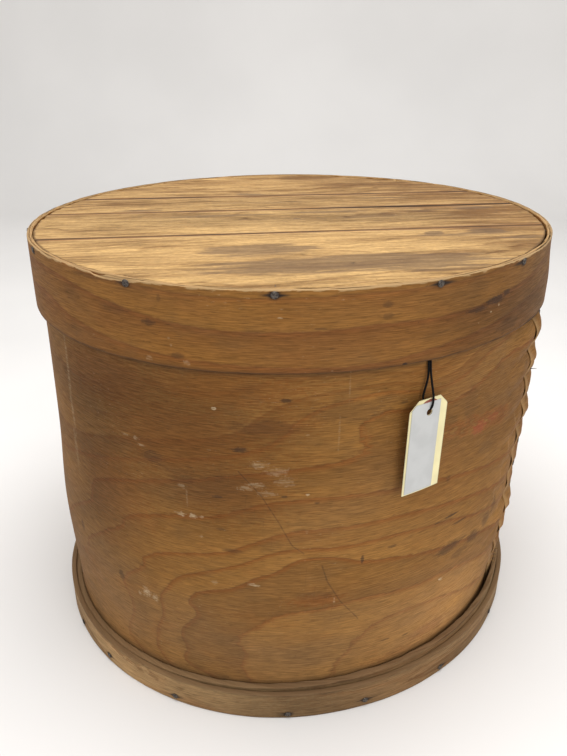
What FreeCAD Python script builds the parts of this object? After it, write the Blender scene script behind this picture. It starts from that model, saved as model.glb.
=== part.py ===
import FreeCAD, Part

import math
import os
from types import SimpleNamespace

import Sketcher
from FreeCAD import Rotation, Vector

# A nailed bentwood box: a veneer wall lapped and stapled into a slightly oval drum, a nailed bottom,
# a double hoop round its foot and a plank lid with a two-ply rim that lifts off.
# Origin: centre of the underside. +X runs along the oval's long axis and +Z points up.
# Directions round the box are those of the outline's normal, in degrees from +X, anticlockwise.

SIZES = {
    # outer face of the wall: how much longer than wide it is, and how much tighter its ends curve
    "wall_half_width": 189.7,
    "wall_stretch": 11.0,
    "wall_end_tightening": 7.5,
    "wall_height": 317.0,
    "wall_thickness": 3.0,
    # the wall's lap: where its loose edge lies, how far the layers overlap and how they part
    "seam_direction": 287.0,
    "lap_length": 60.0,
    "lap_gap": 0.3,
    "lap_lift": 0.7,
    "sink_start_direction": 226.0,
    # the loose margin of the lap, curled between its staples
    "margin_length": 18.0,
    "staple_setback": 3.0,
    "staple_drop_below_rim": 11.8,
    "staple_rise_above_hoop": 14.0,
    "staple_crown": 9.0,
    "staple_wire": 1.2,
    "staple_leg": 6.0,
    # lid
    "rim_clearance": 1.0,
    "rim_ply_thickness": 1.85,
    "rim_ply_gap": 0.1,
    "rim_height": 50.8,
    "rim_proud": 0.6,
    "lid_board_thickness": 8.0,
    "lid_board_play": 0.4,
    "lid_grain_direction": -38.7,
    "lid_front_seam": -60.0,
    "lid_middle_seam": 22.0,
    "lid_back_seam": 83.0,
    # bottom
    "bottom_board_thickness": 9.0,
    "bottom_board_play": 0.3,
    "bottom_first_seam": -104.0,
    "bottom_second_seam": -18.0,
    "bottom_third_seam": 71.0,
    # tongue and groove of the boards
    "board_gap": 0.5,
    "tongue_depth": 4.0,
    "tongue_thickness": 2.4,
    "groove_play": 0.25,
    # double hoop at the foot
    "foot_band_gap": 0.9,
    "inner_band_thickness": 3.7,
    "inner_band_low_side": 21.5,
    "inner_band_high_side": 31.0,
    "inner_band_high_direction": 290.0,
    "band_gap": 0.1,
    "outer_band_thickness": 4.1,
    "outer_band_height": 22.8,
    # scarf joints of the rim plies and the bands
    "scarf_gap": 0.4,
    "scarf_length": 26.0,
    "outer_ply_joint_direction": 95.0,
    "inner_ply_joint_direction": 15.0,
    "outer_band_joint_direction": 68.0,
    "inner_band_joint_direction": 130.0,
    # nails
    "nail_head_radius": 2.3,
    "nail_head_height": 0.9,
    "nail_shank": 1.6,
    "nail_length": 25.0,
    "nail_hole_play": 0.1,
    "rim_nail_depth": 2.9,
    "tack_length": 3.2,
    "tack_shank": 1.0,
    "tack_head_radius": 1.7,
    "tack_pitch": 11.0,
    # tie-on tag
    "tag_direction": 249.7,
    "tag_standoff": 5.0,
    "tag_height": 68.0,
    "tag_width": 31.0,
    "tag_thickness": 0.5,
    "tag_corner": 6.8,
    "tag_top": 250.0,
    "tag_hole_radius": 2.4,
    "tag_hole_drop": 9.5,
    "tag_label_inset": 1.3,
    "tag_label_width": 23.2,
    "tag_label_thickness": 0.2,
    "tag_label_base": 0.9,
    "tag_label_drop": 2.4,
    "tag_patch_radius": 9.1,
    "tag_patch_thickness": 0.15,
    "string_diameter": 1.4,
    "tie_staple_width": 6.0,
    "tie_staple_wire": 0.6,
    "tie_staple_leg": 2.4,
    "tie_staple_drop": 0.8,
}

# direction of each nail through the lid's rim
RIM_NAILS = (18.0, 46.0, 71.0, 99.0, 124.0, 145.0, 163.1, 195.2, 222.5, 249.6, 270.8, 297.0, 322.0, 350.0)

# direction of each nail through the foot hoop, and its height as a share of the bottom's thickness
HOOP_NAILS = (
    (10.0, 0.58), (32.0, 0.49), (54.0, 0.67), (79.0, 0.51), (101.0, 0.60), (124.0, 0.47), (145.0, 0.62),
    (164.5, 0.48), (179.0, 0.69), (199.5, 0.53), (225.5, 0.43), (241.1, 0.70), (259.9, 0.48), (281.0, 0.58),
    (304.0, 0.51), (326.0, 0.64), (347.0, 0.50),
)

# how far the lap's loose edge curls out between each two staples, as shares of the margin, from the top down
CURLS = (0.30, 0.26, 0.22, 0.29, 0.20, 0.19, 0.13, 0.26, 0.12, 0.17)

TACKS_PER_JOINT = 3
NAIL_HEAD_SIDES = 10
STRING_SIDES = 6
FULL_TURN = 360.0
HALF_TURN = 180.0
NEAR = 1e-9  # degrees: two directions closer than this are one
STEP = 1e-6  # degrees: a first step along the wall's sheet
CUTTER_REACH = 1.5  # a cutting block's length as a share of what it cuts
BLANK_REACH = 1.1  # a plank's length before it is cut round, as a share of the box's


class Size:
    """A length or an angle that carries its number and the spreadsheet formula that gives it."""

    def __init__(self, value, formula=None):
        self.value = float(value)
        self.formula = formula or repr(float(value))

    @staticmethod
    def of(other):
        return other if isinstance(other, Size) else Size(other)

    def __add__(self, other):
        other = Size.of(other)
        return Size(self.value + other.value, f"({self.formula} + {other.formula})")

    def __sub__(self, other):
        other = Size.of(other)
        return Size(self.value - other.value, f"({self.formula} - {other.formula})")

    def __mul__(self, other):
        other = Size.of(other)
        return Size(self.value * other.value, f"({self.formula} * {other.formula})")

    def __truediv__(self, other):
        other = Size.of(other)
        return Size(self.value / other.value, f"({self.formula} / {other.formula})")

    def __neg__(self):
        return Size(-self.value, f"(-{self.formula})")


# ------------------------------------------------------------------ document and sheet

doc = FreeCAD.newDocument("BentwoodBox")
sheet = doc.addObject("Spreadsheet::Sheet", "Sizes")
for row, (alias, number) in enumerate(SIZES.items(), start=1):
    sheet.set(f"A{row}", alias)
    sheet.set(f"B{row}", str(number))
    sheet.setAlias(f"B{row}", alias)
doc.recompute()

s = SimpleNamespace(**{alias: Size(number, f"Sizes.{alias}") for alias, number in SIZES.items()})
nodes = []


def bind(item, prop, size):
    """Sets a property and ties it to the sheet."""
    size = Size.of(size)
    item.setExpression(prop, size.formula)


def cosine(degrees):
    return math.cos(math.radians(degrees))


def sine(degrees):
    return math.sin(math.radians(degrees))


def outward(direction):
    """The outline's unit normal in a direction."""
    return Vector(cosine(direction), sine(direction), 0)


def keep(item, label):
    """Gives an object its label and lists it as a piece of the box."""
    item.Label = label
    nodes.append(item)
    return item


# ------------------------------------------------------------------ the oval and the sheets bent round it

# offsets from the wall's outer face, outwards
WALL_INSIDE = -s.wall_thickness
RIM_INSIDE = s.rim_clearance
RIM_BETWEEN = RIM_INSIDE + s.rim_ply_thickness
RIM_OUTER_PLY = RIM_BETWEEN + s.rim_ply_gap
RIM_OUTSIDE = RIM_OUTER_PLY + s.rim_ply_thickness
INNER_BAND_INSIDE = s.foot_band_gap
INNER_BAND_OUTSIDE = INNER_BAND_INSIDE + s.inner_band_thickness
OUTER_BAND_INSIDE = INNER_BAND_OUTSIDE + s.band_gap
OUTER_BAND_OUTSIDE = OUTER_BAND_INSIDE + s.outer_band_thickness

# levels
WALL_TOP = s.wall_height
LID_TOP = WALL_TOP + s.lid_board_thickness
RIM_TOP = LID_TOP + s.rim_proud
RIM_BOTTOM = RIM_TOP - s.rim_height

# the four-arc oval: end arcs centred on the long axis, side arcs centred on the short one
TIGHTENING = s.wall_end_tightening
HALF_LENGTH = s.wall_half_width + s.wall_stretch
END_RADIUS = s.wall_half_width - TIGHTENING
END_CENTRE = s.wall_stretch + TIGHTENING
SIDE_CENTRE = (END_CENTRE * END_CENTRE - TIGHTENING * TIGHTENING) / (TIGHTENING * 2)
SIDE_RADIUS = s.wall_half_width + SIDE_CENTRE
ARC_JOINT = math.degrees(math.atan2(SIDE_CENTRE.value, END_CENTRE.value))


def nominal_arc(direction):
    """Centre, radius and last direction of the oval's arc that holds a direction."""
    turns = math.floor((direction + ARC_JOINT) / FULL_TURN) * FULL_TURN
    local = direction - turns
    if local < ARC_JOINT:
        return Vector(END_CENTRE.value, 0, 0), END_RADIUS, turns + ARC_JOINT
    if local < HALF_TURN - ARC_JOINT:
        return Vector(0, -SIDE_CENTRE.value, 0), SIDE_RADIUS, turns + HALF_TURN - ARC_JOINT
    if local < HALF_TURN + ARC_JOINT:
        return Vector(-END_CENTRE.value, 0, 0), END_RADIUS, turns + HALF_TURN + ARC_JOINT
    return Vector(0, SIDE_CENTRE.value, 0), SIDE_RADIUS, turns + FULL_TURN - ARC_JOINT


def oval_point(direction, offset, height=0.0):
    """A point of the oval moved outwards by an offset."""
    centre, radius, _ = nominal_arc(direction)
    point = centre + outward(direction) * (radius + offset).value
    point.z = Size.of(height).value
    return point


# The wall's sheet starts at its outer layer, a turn before the seam. That layer has sprung out by
# lap_lift at the loose edge, and the inner layer has sunk below it by its thickness and the gap.
LOOSE_EDGE = s.seam_direction.value - FULL_TURN
MARGIN_ANGLE = math.degrees(s.margin_length.value / SIDE_RADIUS.value)
LAP_ANGLE = math.degrees(s.lap_length.value / SIDE_RADIUS.value)
MARGIN_ROOT = LOOSE_EDGE + MARGIN_ANGLE
INNER_END = s.seam_direction.value + LAP_ANGLE
SPRING_OUT = s.lap_lift / (1 - cosine(LOOSE_EDGE))
SINK = (s.wall_thickness + s.lap_gap - s.lap_lift) / (
    1 - cosine(s.seam_direction.value - s.sink_start_direction.value)
)


def wall_arcs(start, end):
    """Arcs (centre, radius, start, end) of the wall's outer face between two directions."""
    arcs = []
    at = start
    sink_start = s.sink_start_direction.value
    while at < end - NEAR:
        centre, radius, last = nominal_arc(at + NEAR)
        if at < -NEAR:
            centre = centre - Vector(SPRING_OUT.value, 0, 0)
            radius = radius + SPRING_OUT
            last = min(last, 0.0)
        elif at < sink_start - NEAR:
            last = min(last, sink_start) if last > sink_start else last
        else:
            centre = centre + outward(sink_start) * SINK.value
            radius = radius - SINK
        last = min(last, end)
        arcs.append((centre, radius, at, last))
        at = last
    return arcs


def wall_point(direction, offset=0.0, height=0.0):
    """A point of the wall's sheet, where directions below zero lie on its outer layer."""
    centre, radius, _, _ = wall_arcs(direction, direction + STEP)[0]
    point = centre + outward(direction) * (radius + offset).value
    point.z = Size.of(height).value
    return point


# ------------------------------------------------------------------ sketches

def new_body(name):
    return doc.addObject("PartDesign::Body", name)


def new_sketch(body, name, plane="XY_Plane", height=None):
    """A sketch on one of its body's origin planes, raised by a height."""
    sketch = body.newObject("Sketcher::SketchObject", name)
    base = [item for item in body.Origin.OriginFeatures if item.Role == plane][0]
    sketch.AttachmentSupport = [(base, "")]
    sketch.MapMode = "FlatFace"
    if height is not None:
        bind(sketch, ".AttachmentOffset.Base.z", height)
    return sketch


def add_constraint(sketch, kind, *where, size=None):
    """Adds a constraint, with its value tied to the sheet if it has one."""
    if size is None:
        sketch.addConstraint(Sketcher.Constraint(kind, *where))
        return
    index = sketch.addConstraint(Sketcher.Constraint(kind, *where, size.value))
    sketch.setExpression(f"Constraints[{index}]", size.formula)


def add_arc(sketch, centre, radius, start, end):
    circle = Part.Circle(centre, Vector(0, 0, 1), radius.value)
    return sketch.addGeometry(Part.ArcOfCircle(circle, math.radians(start), math.radians(end)), False)


def draw_oval(sketch, offset):
    """The closed oval of four tangent arcs, moved outwards by an offset."""
    starts = (-ARC_JOINT, ARC_JOINT, HALF_TURN - ARC_JOINT, HALF_TURN + ARC_JOINT)
    ends = starts[1:] + (FULL_TURN - ARC_JOINT,)
    arcs = []
    for start, end in zip(starts, ends):
        centre, radius, _ = nominal_arc((start + end) / 2)
        arcs.append(add_arc(sketch, centre, radius + offset, start, end))
        add_constraint(sketch, "Radius", arcs[-1], size=radius + offset)
    for arc, side in ((arcs[0], 1), (arcs[2], -1)):
        add_constraint(sketch, "PointOnObject", arc, 3, -1)
        add_constraint(sketch, "DistanceX", -1, 1, arc, 3, size=END_CENTRE * side)
    for arc, following in zip(arcs, arcs[1:] + arcs[:1]):
        add_constraint(sketch, "Tangent", arc, 2, following, 1)


def draw_line(sketch, start, end):
    return sketch.addGeometry(Part.LineSegment(start, end), False)


def draw_wall_face(sketch, offset, start, end):
    """A chain of tangent arcs along the wall's sheet, and its first and last arc."""
    arcs = []
    for centre, radius, first, last in wall_arcs(start, end):
        arcs.append(add_arc(sketch, centre, radius + offset, first, last))
        add_constraint(sketch, "Radius", arcs[-1], size=radius + offset)
    for arc, following in zip(arcs, arcs[1:]):
        add_constraint(sketch, "Tangent", arc, 2, following, 1)
    return arcs[0], arcs[-1]


def draw_sheet(sketch, start, end):
    """The wall's sheet seen from above: its two faces and its two ends."""
    outer_first, outer_last = draw_wall_face(sketch, Size(0), start, end)
    inner_first, inner_last = draw_wall_face(sketch, WALL_INSIDE, start, end)
    flat = Size(0)
    ends = ((start, outer_first, inner_first, 1), (end, outer_last, inner_last, 2))
    for direction, outer, inner, place in ends:
        edge = draw_line(sketch, wall_point(direction, flat), wall_point(direction, WALL_INSIDE))
        add_constraint(sketch, "Coincident", edge, 1, outer, place)
        add_constraint(sketch, "Coincident", edge, 2, inner, place)


def draw_polygon(sketch, corners):
    """A closed polygon whose corners are pairs of sizes, each held from the sketch's origin."""
    places = [Vector(x.value, y.value, 0) for x, y in corners]
    lines = [draw_line(sketch, a, b) for a, b in zip(places, places[1:] + places[:1])]
    for line, following in zip(lines, lines[1:] + lines[:1]):
        add_constraint(sketch, "Coincident", line, 2, following, 1)
    for line, (x, y) in zip(lines, corners):
        add_constraint(sketch, "DistanceX", -1, 1, line, 1, size=x)
        add_constraint(sketch, "DistanceY", -1, 1, line, 1, size=y)


def pad(body, sketch, length, midplane=False):
    feature = body.newObject("PartDesign::Pad", f"{sketch.Name}Pad")
    feature.Profile = sketch
    feature.Midplane = midplane
    bind(feature, "Length", length)
    return feature


# ------------------------------------------------------------------ placing and cutting

def facing_out(point, direction):
    """A placement whose +X points out of the box and +Z points up."""
    return FreeCAD.Placement(point, Rotation(Vector(0, 0, 1), direction))


def group(label, source, placements):
    """One node of separate equal solids."""
    doc.recompute()
    node = doc.addObject("Part::Feature", label)
    copies = []
    for placement in placements:
        solid = source.Shape.copy()
        solid.Placement = placement.multiply(solid.Placement)
        copies.append(solid)
    node.Shape = Part.makeCompound(copies)
    return node


def cut(name, base, tools):
    """The base with one or more tools taken out of it."""
    for number, tool in enumerate(tools):
        result = doc.addObject("Part::Cut", f"{name}Cut{number}")
        result.Base = base
        result.Tool = tool
        base = result
    return base


def box(name, length, width, height, placement=None):
    item = doc.addObject("Part::Box", name)
    bind(item, "Length", length)
    bind(item, "Width", width)
    bind(item, "Height", height)
    if placement is not None:
        item.Placement = placement
    return item


# ------------------------------------------------------------------ nails, tacks and staples

def make_nail(name, shank, length, head_radius):
    """A nail along -X with a hammered, many-sided head whose underside lies in the plane x = 0."""
    head = doc.addObject("Part::Prism", f"{name}Head")
    head.Polygon = NAIL_HEAD_SIDES
    bind(head, "Circumradius", head_radius)
    bind(head, "Height", s.nail_head_height)
    head.Placement = FreeCAD.Placement(Vector(0, 0, 0), Rotation(Vector(0, 1, 0), 90))
    stem = box(f"{name}Stem", length, shank, shank)
    bind(stem, ".Placement.Base.x", -length)
    bind(stem, ".Placement.Base.y", -shank / 2)
    bind(stem, ".Placement.Base.z", -shank / 2)
    nail = doc.addObject("Part::Fuse", name)
    nail.Base = head
    nail.Tool = stem
    return nail


def make_hole(name, shank, length):
    """The square hole that a nail or a tack sits in, open through its head's plane."""
    width = shank + s.nail_hole_play * 2
    hole = box(name, length + s.nail_hole_play * 2, width, width)
    bind(hole, ".Placement.Base.x", -(length + s.nail_hole_play))
    bind(hole, ".Placement.Base.y", -width / 2)
    bind(hole, ".Placement.Base.z", -width / 2)
    return hole


nail = make_nail("Nail", s.nail_shank, s.nail_length, s.nail_head_radius)
nail_hole = make_hole("NailHole", s.nail_shank, s.nail_length)
tack = make_nail("Tack", s.tack_shank, s.tack_length, s.tack_head_radius)
tack_hole = make_hole("TackHole", s.tack_shank, s.tack_length)


def make_staple():
    """A flat-wire staple, crown upright in the plane x = 0 and legs along -X."""
    body = new_body("Staple")
    sketch = new_sketch(body, "StapleOutline", "XZ_Plane")
    half = s.staple_crown / 2
    inner = half - s.staple_wire
    zero = Size(0)
    draw_polygon(sketch, [
        (s.staple_wire, -half), (s.staple_wire, half), (-s.staple_leg, half), (-s.staple_leg, inner),
        (zero, inner), (zero, -inner), (-s.staple_leg, -inner), (-s.staple_leg, -half),
    ])
    pad(body, sketch, s.staple_wire, midplane=True)
    return body


def make_staple_holes():
    """The two slots that a staple's legs sit in."""
    legs = []
    width = s.staple_wire + s.nail_hole_play * 2
    for name, level in (("UpperLeg", s.staple_crown / 2 - s.staple_wire), ("LowerLeg", -s.staple_crown / 2)):
        leg = box(f"{name}Slot", s.staple_leg + s.nail_hole_play * 2, width, width)
        bind(leg, ".Placement.Base.x", -(s.staple_leg + s.nail_hole_play))
        bind(leg, ".Placement.Base.y", -width / 2)
        bind(leg, ".Placement.Base.z", level - s.nail_hole_play)
        legs.append(leg)
    slots = doc.addObject("Part::Compound", "StapleSlots")
    slots.Links = legs
    return slots


def make_tie_staple():
    """The small staple in the wall, just under the rim, that the string is tied to."""
    body = new_body("TieStaple")
    sketch = new_sketch(body, "TieStapleOutline")
    half = s.tie_staple_width / 2
    inner = half - s.tie_staple_wire
    zero = Size(0)
    out = s.tie_staple_wire
    leg = -s.tie_staple_leg
    draw_polygon(sketch, [
        (out, -half), (out, half), (leg, half), (leg, inner),
        (zero, inner), (zero, -inner), (leg, -inner), (leg, -half),
    ])
    pad(body, sketch, s.tie_staple_wire)
    at = s.tag_direction.value
    body.Placement = facing_out(oval_point(at, Size(0), RIM_BOTTOM - s.tie_staple_drop), at)
    return body


# ------------------------------------------------------------------ side wall

TOP_STAPLE = RIM_BOTTOM - s.staple_drop_below_rim
LOWEST_STAPLE = s.inner_band_high_side + s.staple_rise_above_hoop
STAPLE_PITCH = (TOP_STAPLE - LOWEST_STAPLE) / len(CURLS)
STAPLE_HEIGHTS = [TOP_STAPLE - STAPLE_PITCH * step for step in range(len(CURLS) + 1)]


def curled_section(body, name, height, curl):
    """The margin's section: a curved strip that leaves the wall, its end a share of its length outside it."""
    sketch = new_sketch(body, name, height=height)
    ends = []
    for offset in (Size(0), WALL_INSIDE):
        points = []
        for share in (0.0, 0.5, 1.0):
            direction = MARGIN_ROOT - MARGIN_ANGLE * share
            points.append(wall_point(direction, offset + s.margin_length * curl * share * share))
        sketch.addGeometry(Part.Arc(*points), False)
        ends.append((points[0], points[2]))
    for outer_end, inner_end in zip(*ends):
        draw_line(sketch, outer_end, inner_end)
    return sketch


def make_side_wall():
    """A sheet wound a little over one turn, with a loose margin that curls out between the staples."""
    body = new_body("WallSheet")
    outline = new_sketch(body, "WallOutline")
    draw_sheet(outline, MARGIN_ROOT, INNER_END)
    pad(body, outline, s.wall_height)
    lower = new_sketch(body, "LowerMargin")
    draw_sheet(lower, LOOSE_EDGE, MARGIN_ROOT)
    pad(body, lower, STAPLE_HEIGHTS[-1])
    upper = new_sketch(body, "UpperMargin", height=STAPLE_HEIGHTS[0])
    draw_sheet(upper, LOOSE_EDGE, MARGIN_ROOT)
    pad(body, upper, s.wall_height - STAPLE_HEIGHTS[0])
    pinned = []
    for step, height in enumerate(STAPLE_HEIGHTS):
        pinned.append(curled_section(body, f"Pinned{step}", height, 0.0))
    for step, curl in enumerate(CURLS):
        middle = curled_section(body, f"Curled{step}", STAPLE_HEIGHTS[step] - STAPLE_PITCH / 2, curl)
        loft = body.newObject("PartDesign::AdditiveLoft", f"Curl{step}")
        loft.Profile = pinned[step]
        loft.Sections = [middle, pinned[step + 1]]
    body.Tip = loft
    return body


def staple_places():
    direction = MARGIN_ROOT + math.degrees(s.staple_setback.value / SIDE_RADIUS.value)
    return [facing_out(wall_point(direction, Size(0), height), direction) for height in STAPLE_HEIGHTS]


# ------------------------------------------------------------------ boards

def matched_board(name, low, high, thickness, length, tongue, groove):
    """A board along X, seen from its end: a tongue on its low edge and a groove in its high one."""
    body = new_body(name)
    sketch = new_sketch(body, f"{name}End", "YZ_Plane")
    zero = Size(0)
    middle = thickness / 2
    half_tongue = s.tongue_thickness / 2
    half_groove = half_tongue + s.groove_play
    corners = [(low, zero), (high, zero)]
    if groove:
        deep = high - s.tongue_depth - s.groove_play
        corners += [(high, middle - half_groove), (deep, middle - half_groove)]
        corners += [(deep, middle + half_groove), (high, middle + half_groove)]
    corners += [(high, thickness), (low, thickness)]
    if tongue:
        tip = low - s.tongue_depth
        corners += [(low, middle + half_tongue), (tip, middle + half_tongue)]
        corners += [(tip, middle - half_tongue), (low, middle - half_tongue)]
    draw_polygon(sketch, corners)
    pad(body, sketch, length, midplane=True)
    return body


def make_boards(name, seams, thickness, blank, placement):
    """Matched boards cut to the outline of a blank."""
    reach = HALF_LENGTH * BLANK_REACH
    length = reach * 2
    lows = [-reach] + [seam + s.board_gap / 2 for seam in seams]
    highs = [seam - s.board_gap / 2 for seam in seams] + [reach]
    boards = []
    for number, (low, high) in enumerate(zip(lows, highs), start=1):
        tongue = number > 1
        groove = number <= len(seams)
        plank = matched_board(f"{name}Plank{number}", low, high, thickness, length, tongue, groove)
        plank.Placement = placement
        board = doc.addObject("Part::Common", f"{name}{number}")
        board.Base = blank
        board.Tool = plank
        boards.append(board)
    return boards


# ------------------------------------------------------------------ rings

def make_ring(name, inside, outside, height, level=None):
    """A band round the oval between two offsets."""
    body = new_body(name)
    sketch = new_sketch(body, f"{name}Outline", height=level)
    draw_oval(sketch, inside)
    draw_oval(sketch, outside)
    pad(body, sketch, height)
    return body


def scarf(name, direction, inside, outside, height):
    """The thin slanting gap between the two ends of a band."""
    thickness = (outside - inside).value
    slant = math.degrees(math.atan2(s.scarf_length.value, thickness))
    length = s.scarf_length * CUTTER_REACH
    gap = box(name, length, s.scarf_gap, height)
    centre = oval_point(direction, (inside + outside) / 2)
    turn = Rotation(Vector(0, 0, 1), direction + slant)
    corner = turn.multVec(Vector(-length.value / 2, -s.scarf_gap.value / 2, 0))
    gap.Placement = FreeCAD.Placement(centre + corner, turn)
    return gap


def joint_tacks(direction, offset, low, high):
    """Places of the tacks that hold the outer end of a scarf joint, one above the other."""
    spread = math.degrees(s.scarf_length.value / 2 / SIDE_RADIUS.value)
    step = (high - low) / TACKS_PER_JOINT
    places = []
    for number in range(TACKS_PER_JOINT):
        level = low + step * (number + 0.5)
        at = direction + spread
        places.append(facing_out(oval_point(at, offset, level), at))
    return places


# ------------------------------------------------------------------ assembly: base

wall_sheet = make_side_wall()
staple = make_staple()
staple_slots = make_staple_holes()
seam_staples = keep(group("wall_seam_staples", staple, staple_places()), "wall_seam_staples")
seam_slots = group("SeamSlots", staple_slots, staple_places())

hoop_places = []
for at, share in HOOP_NAILS:
    hoop_places.append(facing_out(oval_point(at, OUTER_BAND_OUTSIDE, s.bottom_board_thickness * share), at))
keep(group("hoop_nails", nail, hoop_places), "hoop_nails")
hoop_holes = group("HoopNailHoles", nail_hole, hoop_places)
tie_staple = keep(make_tie_staple(), "tag_staple")
keep(cut("SideWall", wall_sheet, [seam_slots, hoop_holes, tie_staple]), "side_wall")


def make_bottom_blank():
    """The bottom's outline, which follows the inside of the wall's sheet and steps out at its inner end."""
    body = new_body("BottomBlank")
    sketch = new_sketch(body, "BottomOutline")
    offset = WALL_INSIDE - s.bottom_board_play
    start = INNER_END - FULL_TURN
    first, last = draw_wall_face(sketch, offset, start, INNER_END)
    step = draw_line(sketch, wall_point(INNER_END, offset), wall_point(start, offset))
    add_constraint(sketch, "Coincident", step, 1, last, 2)
    add_constraint(sketch, "Coincident", step, 2, first, 1)
    pad(body, sketch, s.bottom_board_thickness)
    return body


bottom_seams = (s.bottom_first_seam, s.bottom_second_seam, s.bottom_third_seam)
bottom_boards = make_boards(
    "BottomBoard", bottom_seams, s.bottom_board_thickness, make_bottom_blank(), FreeCAD.Placement()
)
for number, board in enumerate(bottom_boards, start=1):
    keep(cut(f"BottomBoard{number}", board, [hoop_holes]), f"bottom_board_{number}")

inner_band = make_ring("InnerBandBlank", INNER_BAND_INSIDE, INNER_BAND_OUTSIDE, s.inner_band_high_side)
inner_height = s.inner_band_high_side
inner_joint = s.inner_band_joint_direction.value
inner_scarf = scarf("InnerBandScarf", inner_joint, INNER_BAND_INSIDE, INNER_BAND_OUTSIDE, inner_height)


def slanting_top():
    """The space above the inner band's edge, which slants from its high side down to its low one."""
    span = HALF_LENGTH * 2 + INNER_BAND_OUTSIDE * 2
    fall = (s.inner_band_high_side - s.inner_band_low_side).value
    slope = math.degrees(math.atan2(fall, span.value))
    width = span * CUTTER_REACH
    space = box("BandHeadroom", width, width, s.inner_band_high_side * 2)
    corner = Vector(-width.value / 2, -width.value / 2, 0)
    turn = Rotation(Vector(0, 0, 1), s.inner_band_high_direction.value)
    turn = turn.multiply(Rotation(Vector(0, 1, 0), -slope))
    middle = Vector(0, 0, (s.inner_band_high_side + s.inner_band_low_side).value / 2)
    space.Placement = FreeCAD.Placement(middle + turn.multVec(corner), turn)
    return space


outer_joint = s.outer_band_joint_direction.value
band_tacks = joint_tacks(outer_joint, OUTER_BAND_OUTSIDE, s.outer_band_height / 3, s.outer_band_height)
keep(group("hoop_joint_tacks", tack, band_tacks), "hoop_joint_tacks")
band_tack_holes = group("HoopTackHoles", tack_hole, band_tacks)
inner_cutters = [inner_scarf, slanting_top(), hoop_holes, band_tack_holes]
keep(cut("InnerBand", inner_band, inner_cutters), "hoop_inner_band")

outer_band = make_ring("OuterBandBlank", OUTER_BAND_INSIDE, OUTER_BAND_OUTSIDE, s.outer_band_height)
outer_scarf = scarf("OuterBandScarf", outer_joint, OUTER_BAND_INSIDE, OUTER_BAND_OUTSIDE, s.outer_band_height)
keep(cut("OuterBand", outer_band, [outer_scarf, hoop_holes, band_tack_holes]), "hoop_outer_band")

# ------------------------------------------------------------------ assembly: lid

rim_places = [facing_out(oval_point(at, RIM_OUTSIDE, RIM_TOP - s.rim_nail_depth), at) for at in RIM_NAILS]
keep(group("rim_nails", nail, rim_places), "rim_nails")
rim_holes = group("RimNailHoles", nail_hole, rim_places)

lid_blank = new_body("LidBlank")
lid_outline = new_sketch(lid_blank, "LidOutline", height=WALL_TOP)
draw_oval(lid_outline, RIM_INSIDE - s.lid_board_play)
pad(lid_blank, lid_outline, s.lid_board_thickness)
lid_turn = Rotation(Vector(0, 0, 1), s.lid_grain_direction.value)
lid_boards = make_boards(
    "LidBoard",
    (s.lid_front_seam, s.lid_middle_seam, s.lid_back_seam),
    s.lid_board_thickness,
    lid_blank,
    FreeCAD.Placement(Vector(0, 0, WALL_TOP.value), lid_turn),
)
for number, board in enumerate(lid_boards, start=1):
    keep(cut(f"LidBoard{number}", board, [rim_holes]), f"lid_board_{number}")

rim_tacks = joint_tacks(s.outer_ply_joint_direction.value, RIM_OUTSIDE, RIM_BOTTOM, RIM_TOP - s.tack_pitch)
keep(group("rim_joint_tacks", tack, rim_tacks), "rim_joint_tacks")
rim_tack_holes = group("RimTackHoles", tack_hole, rim_tacks)
for label, joint, inside, outside in (
    ("lid_rim_inner_ply", s.inner_ply_joint_direction, RIM_INSIDE, RIM_BETWEEN),
    ("lid_rim_outer_ply", s.outer_ply_joint_direction, RIM_OUTER_PLY, RIM_OUTSIDE),
):
    ring = make_ring(f"{label}_blank", inside, outside, s.rim_height, level=RIM_BOTTOM)
    joint_gap = scarf(f"{label}_scarf", joint.value, inside, outside, RIM_TOP)
    keep(cut(f"{label}_", ring, [joint_gap, rim_holes, rim_tack_holes]), label)

# ------------------------------------------------------------------ assembly: tag


def tag_placement():
    """A card's own plane XZ laid against the wall: X along it, Y into the box, Z up, at the floor."""
    at = s.tag_direction.value
    return FreeCAD.Placement(oval_point(at, s.tag_standoff), Rotation(Vector(0, 0, 1), at + 90))


def add_tag_hole(sketch, radius):
    """A circle round the middle of the card's hole."""
    level = s.tag_top - s.tag_hole_drop
    ring = sketch.addGeometry(Part.Circle(Vector(0, level.value, 0), Vector(0, 0, 1), radius.value), False)
    add_constraint(sketch, "Radius", ring, size=radius)
    add_constraint(sketch, "PointOnObject", ring, 3, -2)
    add_constraint(sketch, "DistanceY", -1, 1, ring, 3, size=level)


def make_card():
    """The card, with clipped upper corners and a hole for the string."""
    body = new_body("TagCard")
    sketch = new_sketch(body, "TagOutline", "XZ_Plane")
    half = s.tag_width / 2
    top = s.tag_top
    foot = top - s.tag_height
    draw_polygon(sketch, [
        (-half, foot), (half, foot), (half, top - s.tag_corner), (half - s.tag_corner, top),
        (s.tag_corner - half, top), (-half, top - s.tag_corner),
    ])
    add_tag_hole(sketch, s.tag_hole_radius)
    pad(body, sketch, s.tag_thickness)
    body.Placement = tag_placement()
    return body


def on_card(height):
    """A place on the card's face, raised from it by a height."""
    lift = Vector(0, -(s.tag_thickness + height).value, 0)
    return tag_placement().multiply(FreeCAD.Placement(lift, Rotation()))


def make_patch():
    """The round patch that strengthens the card's hole."""
    body = new_body("TagPatch")
    sketch = new_sketch(body, "PatchOutline", "XZ_Plane")
    add_tag_hole(sketch, s.tag_hole_radius)
    add_tag_hole(sketch, s.tag_patch_radius)
    pad(body, sketch, s.tag_patch_thickness)
    body.Placement = on_card(Size(0))
    return body


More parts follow.
